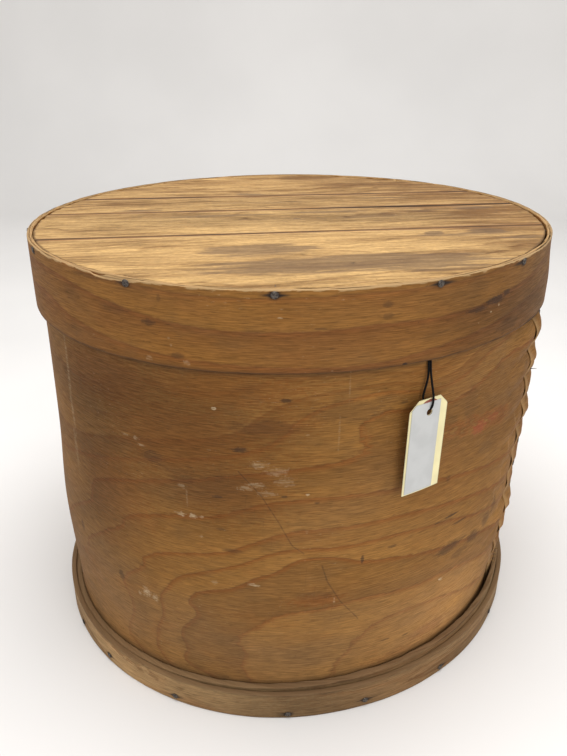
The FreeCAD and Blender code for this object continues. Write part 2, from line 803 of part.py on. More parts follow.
def make_label():
    """The bare paper label stuck over the card and its patch, trimmed along the card's clipped corner."""
    body = new_body("TagLabel")
    sketch = new_sketch(body, "LabelOutline", "XZ_Plane")
    left = s.tag_label_inset - s.tag_width / 2
    right = left + s.tag_label_width
    low = s.tag_top - s.tag_height + s.tag_label_base
    high = s.tag_top - s.tag_label_drop
    clip_left = s.tag_corner - s.tag_label_drop - s.tag_width / 2
    clip_low = s.tag_top - s.tag_corner + s.tag_label_inset
    draw_polygon(sketch, [(left, low), (right, low), (right, high), (clip_left, high), (left, clip_low)])
    add_tag_hole(sketch, s.tag_hole_radius)
    pad(body, sketch, s.tag_label_thickness)
    body.Placement = on_card(s.tag_patch_thickness)
    return body


# The tag's string, looped through the hole: along the wall, out of it and up, in millimetres.
STRING_POINTS = (
    (0.75, 0.9, 272.7), (0.6, 1.9, 266.6), (0.8, 4.6, 257.8), (0.5, 7.4, 251.4), (-0.2, 8.3, 246.0),
    (-0.5, 7.5, 243.4), (-0.4, 6.2, 241.9), (-0.7, 4.0, 241.9), (-2.0, 2.3, 244.6), (-3.6, 2.0, 249.2),
    (-2.7, 2.0, 254.8), (-1.1, 1.8, 262.4), (-0.8, 1.4, 268.0), (-0.75, 0.9, 272.7),
)
ARC_SHARE = 0.45


def rounded_path(points):
    """Straight runs joined by tangent arcs, each as large as its two runs allow."""
    edges = []
    radii = []
    start = points[0]
    for before, corner, after in zip(points, points[1:], points[2:]):
        back = before - corner
        onward = after - corner
        half_turn = (math.pi - back.getAngle(onward)) / 2
        reach = ARC_SHARE * min(back.Length, onward.Length)
        radii.append(reach / math.tan(half_turn))
        back.normalize()
        onward.normalize()
        first = corner + back * reach
        last = corner + onward * reach
        inward = (back + onward).normalize()
        middle = corner + inward * (radii[-1] / math.cos(half_turn) - radii[-1])
        edges.append(Part.LineSegment(start, first).toShape())
        edges.append(Part.Arc(first, middle, last).toShape())
        start = last
    edges.append(Part.LineSegment(start, points[-1]).toShape())
    return Part.Wire(edges), radii


def make_string():
    """The string's tube along its route."""
    frame = tag_placement()
    points = [frame.multVec(Vector(x, (s.tag_standoff - out).value, z)) for x, out, z in STRING_POINTS]
    path, radii = rounded_path(points)
    radius = s.string_diameter.value / 2
    along = (points[1] - points[0]).normalize()
    side = along.cross(Vector(0, 0, 1)).normalize()
    rim = [
        points[0] + Rotation(along, FULL_TURN * step / STRING_SIDES).multVec(side) * radius
        for step in range(STRING_SIDES)
    ]
    section = Part.makePolygon(rim + rim[:1])
    tube = path.makePipeShell([section], True, False)
    string = doc.addObject("Part::Feature", "TagString")
    string.Shape = tube
    area = Part.Face(section).Area
    print("string radii", [round(value, 1) for value in radii],
          f"length {path.Length:.1f} volume {tube.Volume:.2f} of {area * path.Length:.2f}")
    return string


keep(make_card(), "tag_card")
keep(make_label(), "tag_label")
keep(make_patch(), "tag_patch")
keep(make_string(), "tag_string")

# ------------------------------------------------------------------ checks and files

doc.recompute()
for item in doc.Objects:
    if "Invalid" in item.State or "Error" in item.State:
        raise RuntimeError(f"{item.Label} didn't compute: {item.State}")
for node in nodes:
    if node.Shape.isNull() or not node.Shape.isValid():
        raise RuntimeError(f"{node.Label} has no valid shape")

os.makedirs("parts", exist_ok=True)
for node in nodes:
    node.Shape.exportStep(os.path.join("parts", f"{node.Label}.step"))
    box_ = node.Shape.BoundBox
    print(f"{node.Label:22s} solids {len(node.Shape.Solids):3d} faces {len(node.Shape.Faces):4d} "
          f"volume {node.Shape.Volume:10.0f}  z {box_.ZMin:7.2f} {box_.ZMax:7.2f}")
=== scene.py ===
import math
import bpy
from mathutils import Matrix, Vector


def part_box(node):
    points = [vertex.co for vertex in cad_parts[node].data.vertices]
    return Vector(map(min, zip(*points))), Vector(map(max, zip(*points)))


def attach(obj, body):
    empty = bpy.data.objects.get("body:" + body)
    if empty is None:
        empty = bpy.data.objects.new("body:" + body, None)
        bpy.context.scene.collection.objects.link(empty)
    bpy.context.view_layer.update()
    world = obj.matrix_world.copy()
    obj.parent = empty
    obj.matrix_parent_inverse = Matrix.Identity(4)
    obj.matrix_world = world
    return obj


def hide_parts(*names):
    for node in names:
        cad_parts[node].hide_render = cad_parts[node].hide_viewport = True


bl_info = {
    "name": "Bentwood box",
    "version": (1, 0, 0),
    "blender": (4, 5, 0),
    "location": "3D Viewport > Sidebar > Bentwood box",
    "description": "Dresses a nailed bentwood box with a lift-off plank lid and stands it on a pale floor",
    "category": "Object",
}

from functools import cache

import bmesh
import bpy
import numpy as np
from bpy.props import FloatProperty, FloatVectorProperty, IntProperty, PointerProperty
from mathutils import Matrix, Vector

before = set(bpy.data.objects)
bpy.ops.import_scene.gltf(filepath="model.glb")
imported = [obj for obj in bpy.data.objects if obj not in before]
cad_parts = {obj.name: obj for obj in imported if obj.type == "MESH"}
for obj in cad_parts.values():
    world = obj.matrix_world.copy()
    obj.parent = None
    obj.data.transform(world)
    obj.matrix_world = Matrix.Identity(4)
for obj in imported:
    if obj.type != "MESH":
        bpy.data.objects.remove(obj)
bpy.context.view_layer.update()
MM = 0.001
FULL_TURN = 360.0

# ------------------------------------------------------------------ the box's forms, from the frame

# offsets from the wall's outer face, outwards
WALL_INSIDE = -3.0 * MM
RIM_INSIDE = 1.0 * MM
RIM_BETWEEN = 2.85 * MM
RIM_OUTER_PLY = 2.95 * MM
RIM_OUTSIDE = 4.8 * MM
INNER_BAND_INSIDE = 0.9 * MM
INNER_BAND_OUTSIDE = 4.6 * MM
OUTER_BAND_INSIDE = 4.7 * MM
OUTER_BAND_OUTSIDE = 8.8 * MM
LID_EDGE = 0.6 * MM

HALF_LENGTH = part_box("lid_rim_outer_ply")[1].x - RIM_OUTSIDE
HALF_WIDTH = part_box("lid_rim_outer_ply")[1].y - RIM_OUTSIDE
END_TIGHTENING = 7.5 * MM
END_RADIUS = HALF_WIDTH - END_TIGHTENING
END_CENTRE = HALF_LENGTH - END_RADIUS
SIDE_CENTRE = (END_CENTRE ** 2 - END_TIGHTENING ** 2) / (2 * END_TIGHTENING)
SIDE_RADIUS = HALF_WIDTH + SIDE_CENTRE
ARC_JOINT = math.degrees(math.atan2(SIDE_CENTRE, END_CENTRE))

WALL_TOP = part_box("side_wall")[1].z
RIM_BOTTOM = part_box("lid_rim_outer_ply")[0].z
RIM_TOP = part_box("lid_rim_outer_ply")[1].z
LID_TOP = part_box("lid_board_1")[1].z
HOOP_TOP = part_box("hoop_outer_band")[1].z
INNER_BAND_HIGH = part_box("hoop_inner_band")[1].z
INNER_BAND_LOW = 21.5 * MM
INNER_BAND_HIGH_DIRECTION = 290.0
# the rim's spring near the seam, the chip in its top edge and how far the inner band hugs the wall
RIM_SPRING = 2.8 * MM
CHIP_DEPTH = 2.4 * MM
BAND_HUG = 0.65 * MM
FIBRE_WIDTH = 0.7 * MM

# the wall's lap: its loose edge, its sprung outer layer and its sunk inner layer, in degrees and metres
SEAM = 287.0
LOOSE_EDGE = SEAM - FULL_TURN
MARGIN_LENGTH = 18.0 * MM
MARGIN_STEPS = 19
MARGIN_ANGLE = math.degrees(MARGIN_LENGTH / SIDE_RADIUS)
MARGIN_ROOT = LOOSE_EDGE + MARGIN_ANGLE
INNER_END = SEAM + math.degrees(60.0 * MM / SIDE_RADIUS)
LAP_LIFT = 0.7 * MM
LAP_GAP = 0.3 * MM
SINK_START = 226.0
SPRING_OUT = LAP_LIFT / (1 - math.cos(math.radians(LOOSE_EDGE)))
SINK = (-WALL_INSIDE + LAP_GAP - LAP_LIFT) / (1 - math.cos(math.radians(SEAM - SINK_START)))
TOP_STAPLE = RIM_BOTTOM - 11.8 * MM
# how far both layers stand out along the seam: height and swelling, in millimetres
SEAM_RISE = (
    (0, 0), (31, 0.2), (50, 1.4), (77, 1.9), (100, 3.1), (132, 3.9), (165, 4.5), (197, 4.9), (219, 5.0),
    (241, 4.5), (258, 3.4), (267, 2.0), (273.5, 0.0),
)
# the scallops between staples: height, half height, swelling of both layers and of the loose edge alone
BOTH_LAYERS = 2
LOOSE_LAYER = 3
SCALLOPS = (
    (256, 13, 3.4, 2.2), (230.5, 10.5, 1.7, 1.7), (208.5, 10.5, 0.9, 1.4), (187.5, 10.5, 2.0, 1.9),
    (166, 10.5, 1.1, 1.4), (144, 10.5, 0.7, 1.2), (121.5, 10.5, 0.3, 0.9), (98, 11, 2.6, 2.0),
    (76.5, 10.5, 1.9, 1.7), (56, 10, 0.6, 1.2),
)

# the slanting joints of the bent strips: direction and half their length round the box, in degrees
SCARF_HALF = math.degrees(13.0 * MM / SIDE_RADIUS)
SCARF_GAP = 0.12
OUTER_PLY_JOINT = 95.0
INNER_PLY_JOINT = 15.0
OUTER_BAND_JOINT = 68.0
INNER_BAND_JOINT = 130.0

LID_GRAIN = math.radians(-38.7)
LID_SEAMS = (-60.0 * MM, 22.0 * MM, 83.0 * MM)
SEAM_GAP = 0.5 * MM

# a strip's pattern is measured along a mean radius, so a place along it follows from its direction
MEAN_RADIUS = 0.2
PATTERN_BREAK = 150.0

# ------------------------------------------------------------------ wood figure, in degrees and millimetres

# growth rings cut by the wall's face: each ring's number, then the directions and heights that it passes
WALL_RINGS = (
    (-7, (191, 264), (187.5, 257.5), (183, 250), (215, 262)),
    (-8, (250, 268)),
    (-5, (176, 201), (189, 214), (206, 225), (216, 235), (221.5, 249), (228, 258), (245, 262), (262, 268)),
    (-3, (157.5, 105), (166, 126), (175, 146), (177.5, 166), (189, 181), (198, 190), (215, 203), (235, 212),
     (255, 214), (275, 205)),
    (-2, (160.5, 80), (169.5, 92), (170.5, 102), (173.5, 111), (181, 128.4), (186, 139.7), (187, 147.5),
     (190, 153), (201, 165), (211.5, 171.5), (227.5, 185.5), (243, 185), (256, 180), (275, 168)),
    (-1, (191.6, 112), (191.4, 117), (193.7, 124), (203.7, 135.4), (213.2, 143), (219.5, 153), (226, 161),
     (242.5, 161.5), (258, 156), (276, 144), (184.6, 90), (184.8, 80.8), (186.2, 73.6), (186.8, 61),
     (185.7, 51.6), (185.4, 31.6), (189, 26)),
    (0, (196, 70), (198, 100), (207, 122), (220, 141), (233, 145.5), (247, 146), (260, 139.5),
     (271, 128.5)),
    (1, (207.5, 26.5), (203.7, 29.3), (201.5, 33), (200.9, 38.8), (202.1, 46.5), (201.3, 52), (200.7, 60),
     (201.3, 67.6), (205.2, 84.7), (202.9, 92), (204.9, 102), (209.1, 107.5), (213, 111), (218, 121),
     (224, 130), (229.2, 139), (233.5, 138), (239, 131), (245.3, 127), (252.4, 122), (261, 115.5),
     (273, 106.5)),
    (2, (217, 25), (215, 39), (216, 53), (213.9, 64), (215, 70.5), (218.7, 80), (224.6, 91.5), (232, 94),
     (237.7, 97), (245, 96.5), (253.3, 93), (261.7, 91.5), (270, 84), (280, 74)),
    (3, (233.5, 14), (234.2, 30), (236, 43.5), (237.5, 51), (241.3, 65.5), (247.2, 74), (254, 73),
     (261.8, 67.5), (274, 53), (284, 44)),
    (-5, (-60, 230)), (-2, (-60, 160)), (1, (-60, 70)), (0, (-30, 130)), (2, (0, 60)), (-4, (0, 240)),
    (2, (30, 150)), (3, (30, 40)), (1, (60, 170)), (3, (60, 100)), (-3, (60, 250)), (1, (90, 120)),
    (3, (90, 40)), (-3, (105, 200)), (-1, (120, 120)), (1, (130, 40)), (-6, (130, 250)),
)
WALL_RING_REACH = (-8.0, 4.0)
# how dark the wood is beside each ring: latewood ends sharply at a ring and fades away from it
WALL_TONES = (
    (-8.0, 0.5), (-7.02, 0.52), (-6.96, 0.7), (-6.0, 0.54), (-5.05, 0.46), (-4.97, 0.78), (-4.0, 0.6),
    (-3.02, 0.5), (-2.96, 0.76), (-2.4, 0.58), (-2.02, 0.48), (-1.96, 0.66), (-1.02, 0.42), (-0.96, 0.64),
    (-0.1, 0.42), (0.0, 0.54), (0.96, 0.3), (1.02, 0.84), (1.25, 0.68), (1.6, 0.6), (1.98, 0.78),
    (2.03, 0.34), (2.5, 0.22), (2.97, 0.04), (3.03, 0.34), (3.3, 0.12), (4.0, 0.0),
)
RIM_RINGS = (
    (1, (166, 317.5), (177, 316.5), (186, 312), (196, 306.5), (204, 303), (211, 301.2), (218, 300.8),
     (225, 300.7), (230.5, 301.3), (236, 302.3), (242.5, 303), (248, 302.2), (253, 302.5), (259, 303.5),
     (265.5, 307), (275, 310.5), (287, 318)),
    (2, (281, 300), (284, 303), (276, 296), (262, 288), (250, 283), (240, 278.8), (225, 279), (209, 281),
     (195, 284), (178, 292), (166, 300)),
    (0, (200, 322), (225, 321), (250, 322), (180, 326)),
    (1, (310, 305)), (2, (310, 282)),
    (1, (340, 296), (15, 310)),
    (2, (15, 286)), (1, (50, 315)), (2, (60, 292)),
    (1, (90, 300), (120, 290), (140, 305)),
    (2, (140, 282)),
)
RIM_RING_REACH = (-2.0, 4.0)
RIM_TONES = (
    (-2.0, 0.3), (-0.02, 0.26), (0.04, 0.4), (0.5, 0.34), (0.97, 0.24), (1.03, 0.8), (1.25, 0.62),
    (1.6, 0.46), (1.97, 0.34), (2.03, 0.72), (2.5, 0.52), (4.0, 0.42),
)
HOOP_RING_REACH = (0.0, 2.0)
HOOP_TONES = ((0.0, 0.30), (0.95, 0.42), (1.05, 0.78), (2.0, 0.45))
BOARD_TONES = ((0.0, 0.04), (0.4, 0.05), (0.78, 0.2), (0.93, 0.5), (1.0, 0.04))
# broad painted light and shade, with some of the wood's own darker and lighter tone: direction, height, half
# length, half height, change of brightness
WALL_SHADES = (
    (180, 250, 70, 40, -0.28), (196, 235, 60, 45, -0.16), (210, 242, 48, 26, -0.18),
    (178, 170, 40, 60, -0.36), (212, 192, 42, 26, -0.31), (240, 150, 70, 60, 0.08),
    (230, 56, 22, 24, -0.14), (272, 175, 14, 60, -0.1), (281, 215, 18, 34, -0.08),
    (268, 240, 30, 26, -0.05), (264, 48, 46, 42, 0.5), (180, 50, 40, 40, 0.2), (238, 240, 30, 22, 0.06),
    (240, 260, 56, 15, 0.12),
)
RIM_SHADES = (
    (178, 300, 50, 30, -0.08), (257, 303, 36, 40, -0.2), (270, 290, 50, 16, -0.26),
    (281, 300, 55, 50, -0.26), (300, 300, 30, 50, -0.1),
)
HOOP_SHADES = ((182, 12, 70, 60, 0.52), (229, 12, 45, 60, -0.42), (265, 12, 60, 60, -0.12))
# small dark marks: direction, height, half length, half height, strength
WALL_SPOTS = (
    (215.8, 221.2, 5.6, 2.0, 0.8), (239.8, 131.7, 1.4, 3.6, 0.8), (224.6, 256, 3.6, 1.4, 0.8),
    (246.2, 136.3, 4, 1.1, 0.6), (224.4, 188, 2.6, 1.0, 0.7), (230.4, 182.5, 2.2, 1.0, 0.6),
    (210.9, 185.2, 4.0, 1.1, 0.6), (246.3, 51.2, 4.2, 1.0, 0.6), (213.6, 143.6, 9, 1.6, 0.45),
    (211.5, 160, 4, 1.0, 0.5), (168.2, 109.5, 3.0, 5.5, 0.5), (184, 91, 3.5, 5, 0.55),
    (261.7, 141.4, 8, 1.0, 0.85), (257.4, 141, 4, 0.8, 0.6), (264.6, 131.6, 9, 1.1, 0.6),
    (269, 129.6, 4, 0.9, 0.4), (266.5, 113.6, 5, 0.7, 0.6), (251.5, 48, 3, 0.9, 0.5),
    (236, 246, 26, 8, 0.32), (243, 251, 12, 4, 0.28), (226, 232, 30, 9, 0.12), (222, 237.5, 22, 6, 0.3),
    (262, 112, 15, 4.5, 0.62), (270.5, 107.5, 9, 5, 0.6), (275.6, 113, 6, 7, 0.5), (278.6, 121, 4, 9, 0.4),
    (266, 101, 12, 4, 0.3), (203, 196, 12, 6, 0.2), (197, 206, 9, 5, 0.42), (246, 247, 3, 1.0, 0.5),
    (263, 230, 9, 14, 0.22), (259, 176, 2, 3, 0.35), (231, 106, 16, 4, 0.3),
)
RIM_SPOTS = (
    (240.3, 314.6, 3.4, 2.0, 0.5), (240.5, 307.5, 3.4, 2.2, 0.4), (201.9, 317, 1.6, 2.4, 0.4),
    (199.5, 301.2, 5, 2.2, 0.6), (205, 283, 5, 2, 0.45), (263, 304, 9, 3.0, 0.85),
    (258.5, 301, 9, 1.8, 0.7), (266, 306.5, 4, 2.2, 0.8), (244.1, 275.6, 1.8, 1.2, 1.0),
    (229.8, 302.5, 5, 0.8, 0.5), (186, 322, 20, 1.6, 0.3), (268, 283, 12, 5, 0.3), (192, 306, 14, 4, 0.3),
    (180, 308, 10, 6, 0.2),
)
# orange, resinous patches, pale scuffs with a painted highlight along a crease, and red marks, in the same
# terms
WALL_GLOWS = (
    (231, 101.5, 20, 4.5, 0.7), (258, 42, 20, 6, 0.75), (250, 33, 30, 4, 0.5), (228, 157, 18, 5, 0.35),
    (186, 256, 52, 22, 0.55), (212, 262, 60, 15, 0.5), (204, 222, 64, 34, 0.5), (184, 170, 40, 34, 0.4),
    (214, 190, 42, 24, 0.4), (256, 262, 40, 12, 0.15), (222, 237, 24, 8, 0.4),
)
HOOP_GLOWS = ((245, 8, 90, 30, 0.25),)
WALL_SCUFFS_AND_HIGHLIGHTS = (
    (210.8, 248.6, 1.6, 0.8, 1.0), (202.6, 166.6, 3.6, 1.8, 0.9), (205.4, 167.2, 3.0, 1.8, 0.85),
    (207.4, 167.6, 2, 1.0, 0.6), (209.6, 114.3, 2.4, 1.8, 0.35), (218, 116.4, 3.8, 1.1, 0.9),
    (191.8, 87, 4.2, 3.8, 0.9), (194.2, 85.2, 2.4, 3.0, 0.8), (189.6, 83, 1.4, 1.8, 0.6),
    (260.4, 86, 1.9, 1.4, 2.0), (228.8, 188.9, 1.0, 1.0, 0.9), (219.5, 211, 6, 2.2, 0.5),
    (223, 206, 8, 3.2, 0.35), (224.5, 199, 6, 3, 0.35), (219, 196, 6, 2.2, 0.45),
    (216.4, 193.5, 6, 1.6, 0.4), (221, 190, 6, 2, 0.35), (190.2, 217, 3.4, 1.0, 0.5),
    (193, 216.6, 2.2, 1.4, 0.5), (194.2, 212.6, 3.6, 0.9, 0.5), (203.3, 189, 3.0, 1.6, 0.35),
    (204.3, 181, 0.7, 7, 0.25), (207, 151.5, 1.4, 1.0, 0.6), (234.5, 99, 0.6, 3, 0.5),
    # the long, narrow marks near 170 degrees, here and on the next line, are a painted highlight along a
    # crease at the wall's left
    (234, 232, 0.6, 12, 0.2), (235.5, 262, 0.6, 9, 0.25), (171.2, 250, 2.0, 22, 0.36),
    (170.6, 216, 2.2, 20, 0.34), (169.6, 182, 2.6, 18, 0.26), (282.6, 190, 0.6, 8, 0.4),
    (281.2, 171, 0.6, 9, 0.4), (279.7, 152, 0.6, 9, 0.4), (278, 131, 0.6, 9, 0.35),
)
RIM_SCUFFS = (
    (223.5, 309.6, 1.8, 0.5, 0.8), (203.4, 293, 0.9, 1.2, 0.5), (203.8, 289, 0.6, 0.8, 0.5),
    (199.1, 278.4, 2.4, 1.6, 0.3), (206.7, 279.2, 2.2, 1.8, 0.35), (262, 297, 0.8, 0.8, 0.7),
    (264, 300, 0.7, 0.9, 0.7), (259, 292, 0.7, 0.7, 0.5),
)
RED_MARKS = ((267, 207, 8, 5, 0.8), (271.5, 210, 7, 3.5, 0.5))
# scratches: the directions and heights along each
SCRATCHES = (
    ((215.3, 205.5), (217.6, 197), (219.8, 188.6), (223.4, 168), (226.1, 149.5), (228.3, 143)),
    ((231.8, 131.5), (233, 117), (235.7, 98.4), (239.7, 79.4)),
)
SCRATCH_REACH = 14.0
# slivers sprung from the loose edge: direction, height, length, rise and half thickness
SLIVERS = (
    (-71.6, 53, 3.2, -1.2, 0.5), (-71.3, 47, 4.2, -1.0, 0.45), (-71.2, 42, 5.0, 1.4, 0.5),
    (-71.4, 39, 4.0, -2.0, 0.4), (-71.8, 62, 2.0, 1.0, 0.35), (-72.0, 176.5, 1.8, 1.0, 0.3),
)
BENT_LEG = ((-71.4, 224, 4.6, 1.0, 0.4),)
# how far the wall swells low at the left
SIDE_SWELL = 3.8 * MM
# stains on the lid: along the grain, across it, half length, half width, strength, in millimetres
LID_STAINS = (
    (-41, -107, 40, 16, 0.85), (-41.5, -108.4, 13, 5, 1.0), (16, -148, 104, 21, 0.8),
    (66, -160, 60, 12, 0.5), (12.6, -147, 2.2, 2.4, 1.6), (40, -133, 30, 4, 0.9), (112, -82, 48, 8, 0.5),
    (91, -75.5, 8, 4.4, 1.3), (131, -76, 15, 7, 1.1), (150, -96, 26, 7, 0.4), (-96, -64, 40, 6, 0.3),
    (-60, 2, 60, 7, 0.4), (30, 6, 46, 6, 0.45), (60, -14, 40, 9, 0.4), (0, -15, 2.4, 2.4, 1.4),
    (110, 6, 34, 9, 0.45), (-24, 91, 15, 4.2, 1.0), (-30, 100, 40, 8, 0.3), (20, 90, 60, 6, 0.35),
    (-20, 50, 70, 8, 0.3), (150, 10, 26, 14, 0.5), (-120, 30, 30, 6, 0.4), (90, 60, 40, 6, 0.4),
)
# broader painted light and shade on the lid, with some of the boards' own tone
LID_SHADES = (
    (-60, -118, 70, 45, 0.08), (-160, -40, 40, 60, -0.06), (-60, -15, 110, 26, -0.24),
    (80, -20, 80, 24, -0.2), (-40, 55, 120, 30, -0.14), (165, -35, 35, 40, 0.12), (-20, 150, 100, 40, 0.1),
    (150, 25, 40, 40, 0.1),
)
# light, worn bands on the lid
LID_GLOWS = (
    (-70, -122, 60, 20, 0.55), (-10, -82, 70, 14, 0.75), (50, -104, 66, 13, 0.8), (-150, -60, 40, 14, 0.35),
    (-40, -44, 90, 8, 0.7), (20, -48, 60, 6, 0.6), (-90, -20, 46, 10, 0.4), (0, 150, 60, 16, 0.4),
    (-60, -158, 60, 12, 0.4),
)


# ------------------------------------------------------------------ settings

def colour_setting(name, description, *display):
    """A colour given as it is displayed, 0 to 255 a channel, and kept linear, as shaders use it."""
    linear = []
    for value in display:
        share = value / 255.0
        linear.append(share / 12.92 if share <= 0.04045 else ((share + 0.055) / 1.055) ** 2.4)
    return FloatVectorProperty(
        name=name, description=description, subtype="COLOR", size=3, min=0, max=1, default=linear,
    )


def length_setting(name, description, default):
    return FloatProperty(
        name=name, description=description, unit="LENGTH", precision=5, min=0, default=default,
    )


class BoxForm(bpy.types.PropertyGroup):
    """Sizes that the wood's wear and waviness take."""

    wall_wave: length_setting("Wall wave", "How far the wall's face swells and sinks", 0.35 * MM)
    strip_wave: length_setting("Strip wave", "How far the rim and the hoop swell and sink", 0.2 * MM)
    edge_round: length_setting("Edge wear", "Radius of the worn edges of the bent strips", 0.7 * MM)
    ragged_edge: length_setting("Ragged edge", "How far the strips' edges are broken away", 0.8 * MM)
    board_ridge: length_setting("Board ridges", "Height of the weathered grain on the lid", 0.16 * MM)
    board_wear: length_setting("Board wear", "How far the lid boards' edges are worn down", 1.1 * MM)
    wall_column: length_setting("Wall columns", "Width of the wall mesh's faces", 6.0 * MM)
    wall_row: length_setting("Wall rows", "Height of the wall mesh's faces", 1.9 * MM)
    strip_step: length_setting("Strip step", "Width of the rim and hoop meshes' faces", 3.0 * MM)
    board_step: length_setting("Board step", "Width of the lid mesh's faces", 3.0 * MM)
    seed: IntProperty(name="Seed", description="Number that every random wave starts from", default=7)


class BoxColours(bpy.types.PropertyGroup):
    """Colours of the box's finishes."""

    veneer_light: colour_setting("Veneer, light", "Earlywood of the wall", 160, 114, 56)
    veneer_dark: colour_setting("Veneer, dark", "Latewood of the wall", 108, 71, 29)
    # also laid over the rim's right end as painted shade
    veneer_grey: colour_setting("Veneer, grey", "Weathered wood of the wall", 124, 95, 65)
    rim_light: colour_setting("Rim, light", "Earlywood of the rim", 152, 105, 44)
    rim_dark: colour_setting("Rim, dark", "Latewood of the rim", 108, 60, 19)
    hoop_light: colour_setting("Hoop, light", "Clean wood of the foot hoop", 166, 134, 92)
    hoop_dark: colour_setting("Hoop, dark", "Dirty wood of the foot hoop", 98, 74, 46)
    board_light: colour_setting("Board, light", "Golden wood of the lid", 188, 151, 97)
    board_dark: colour_setting("Board, dark", "Brown streaks of the lid", 112, 78, 40)
    board_stain: colour_setting("Board, stain", "Stains on the lid", 96, 74, 54)
    smudge: colour_setting("Smudge", "Dull, handled patches", 98, 74, 46)
    bare: colour_setting("Bare wood", "Freshly worn edges of the rim", 190, 160, 116)
    line: colour_setting("Ring line", "The thin dark line at a growth ring", 78, 46, 22)
    resin: colour_setting("Resin", "Orange, resinous patches", 132, 76, 28)
    # the dirt colour also paints shade: the line under the rim and the dark foot of the rim
    dirt_and_shade: colour_setting("Dirt", "Iron stains, knots and scratches", 44, 34, 28)
    # the scuff colour also paints a highlight along a crease of the wall
    scuff_and_highlight: colour_setting("Scuff", "Pale scuffs and bare fibres", 192, 170, 136)
    red: colour_setting("Red mark", "Faded red mark on the wall", 160, 74, 52)
    iron: colour_setting("Iron", "Dark iron of nails and staples", 98, 91, 84)
    rust: colour_setting("Rust", "Rust on the iron", 42, 33, 29)
    card: colour_setting("Card", "Manila card of the tag", 242, 231, 180)
    label: colour_setting("Label", "Bare paper label", 197, 198, 197)
    patch: colour_setting("Patch", "Fibre patch round the tag's hole", 140, 70, 54)
    thread: colour_setting("Thread", "Black string", 11, 10, 10)


class BoxStage(bpy.types.PropertyGroup):
    """Floor, light and camera."""

    floor: colour_setting("Floor", "Colour of the floor and the backdrop", 232, 230, 228)
    sky: FloatProperty(name="Sky", description="Strength of the light from all round", default=0.68)
    key: FloatProperty(
        name="Key lamp", description="Power of the soft lamp overhead", unit="POWER", default=24.0,
    )
    fill: FloatProperty(
        name="Fill lamp", description="Power of the lamp at the front right", unit="POWER", default=6.0,
    )
    camera_distance: length_setting("Camera distance", "From the box's axis, level", 564.9 * MM)
    camera_height: length_setting("Camera height", "Above the floor", 442.3 * MM)


# ------------------------------------------------------------------ bends, waves and the ring field

def outward(direction):
    angle = math.radians(direction)
    return Vector((math.cos(angle), math.sin(angle), 0))


def oval_arcs(directions):
    """Centre and radius of the oval's arc at each direction."""
    local = (directions + ARC_JOINT) % FULL_TURN - ARC_JOINT
    right = local < ARC_JOINT
    back = (local >= ARC_JOINT) & (local < 180 - ARC_JOINT)
    left = (local >= 180 - ARC_JOINT) & (local < 180 + ARC_JOINT)
    x = np.where(right, END_CENTRE, np.where(left, -END_CENTRE, 0.0))
    y = np.where(right | left, 0.0, np.where(back, -SIDE_CENTRE, SIDE_CENTRE))
    radius = np.where(right | left, END_RADIUS, SIDE_RADIUS)
    return x, y, radius


def bent(x, y, radius, directions, offset, heights):
    angle = np.radians(directions)
    reach = radius + offset
    return np.stack([x + np.cos(angle) * reach, y + np.sin(angle) * reach, heights + 0 * reach], axis=-1)


def oval(directions, offset, heights):
    """Points of the oval, moved outwards and up."""
    return bent(*oval_arcs(directions), directions, offset, heights)


def wall_sheet(directions, offset, heights):
    """Points of the wall's sheet, whose directions below zero lie on its outer layer."""
    x, y, radius = oval_arcs(directions)
    sprung = directions < 0
    x = x - np.where(sprung, SPRING_OUT, 0.0)
    radius = radius + np.where(sprung, SPRING_OUT, 0.0)
    sunk = np.where(directions > SINK_START, SINK, 0.0)
    x = x + sunk * math.cos(math.radians(SINK_START))
    y = y + sunk * math.sin(math.radians(SINK_START))
    return bent(x, y, radius - sunk, directions, offset, heights)


def waves(u, v, seed, length_u, length_v, count=14):
    """A smooth random surface of about -1 to 1."""
    rng = np.random.default_rng(seed)
    total = np.zeros(np.broadcast(u, v).shape)
    for _ in range(count):
        turns_u = rng.normal() / length_u
        turns_v = rng.normal() / length_v
        total += np.cos(2 * math.pi * (turns_u * u + turns_v * v + rng.uniform()))
    return total / math.sqrt(count)


def ring_waves(directions, heights, seed, most_turns, length, count=16):
    """The same, closed on itself round the box."""
    rng = np.random.default_rng(seed)
    total = np.zeros(np.broadcast(directions, heights).shape)
    for _ in range(count):
        turns = rng.integers(2, most_turns)
        rise = rng.normal() / length
        total += np.cos(np.radians(directions) * turns + 2 * math.pi * (rise * heights + rng.uniform()))
    return total / math.sqrt(count)


def roughness_line(positions, seed, steps):
    """A ragged line from 0 to 1 along positions in metres: random heights joined at several step lengths."""
    rng = np.random.default_rng(seed)
    total = np.zeros(positions.shape)
    weight = 0.0
    for number, step in enumerate(steps):
        knots = np.arange(positions.min() - step, positions.max() + 2 * step, step)
        share = 0.6 ** number
        total += share * np.interp(positions, knots, rng.uniform(0, 1, knots.size))
        weight += share
    return total / weight


def smooth(value, low, high):
    share = np.clip((value - low) / (high - low), 0, 1)
    return share * share * (3 - 2 * share)


def between(value, start, full, past, end):
    """0 before start, 1 from full to past and 0 after end."""
    return smooth(value, start, full) * smooth(-value, -end, -past)


def turned(directions, middle):
    """How far directions are turned from a middle one, -180 to 180."""
    return (directions - middle + 180) % FULL_TURN - 180


def past_break(directions):
    """Directions counted on from where the patterns of the rim and the hoop break."""
    return (directions - PATTERN_BREAK) % FULL_TURN + PATTERN_BREAK


def plate_kernel(squared):
    return 0.5 * squared * np.log(np.maximum(squared, 1e-12))


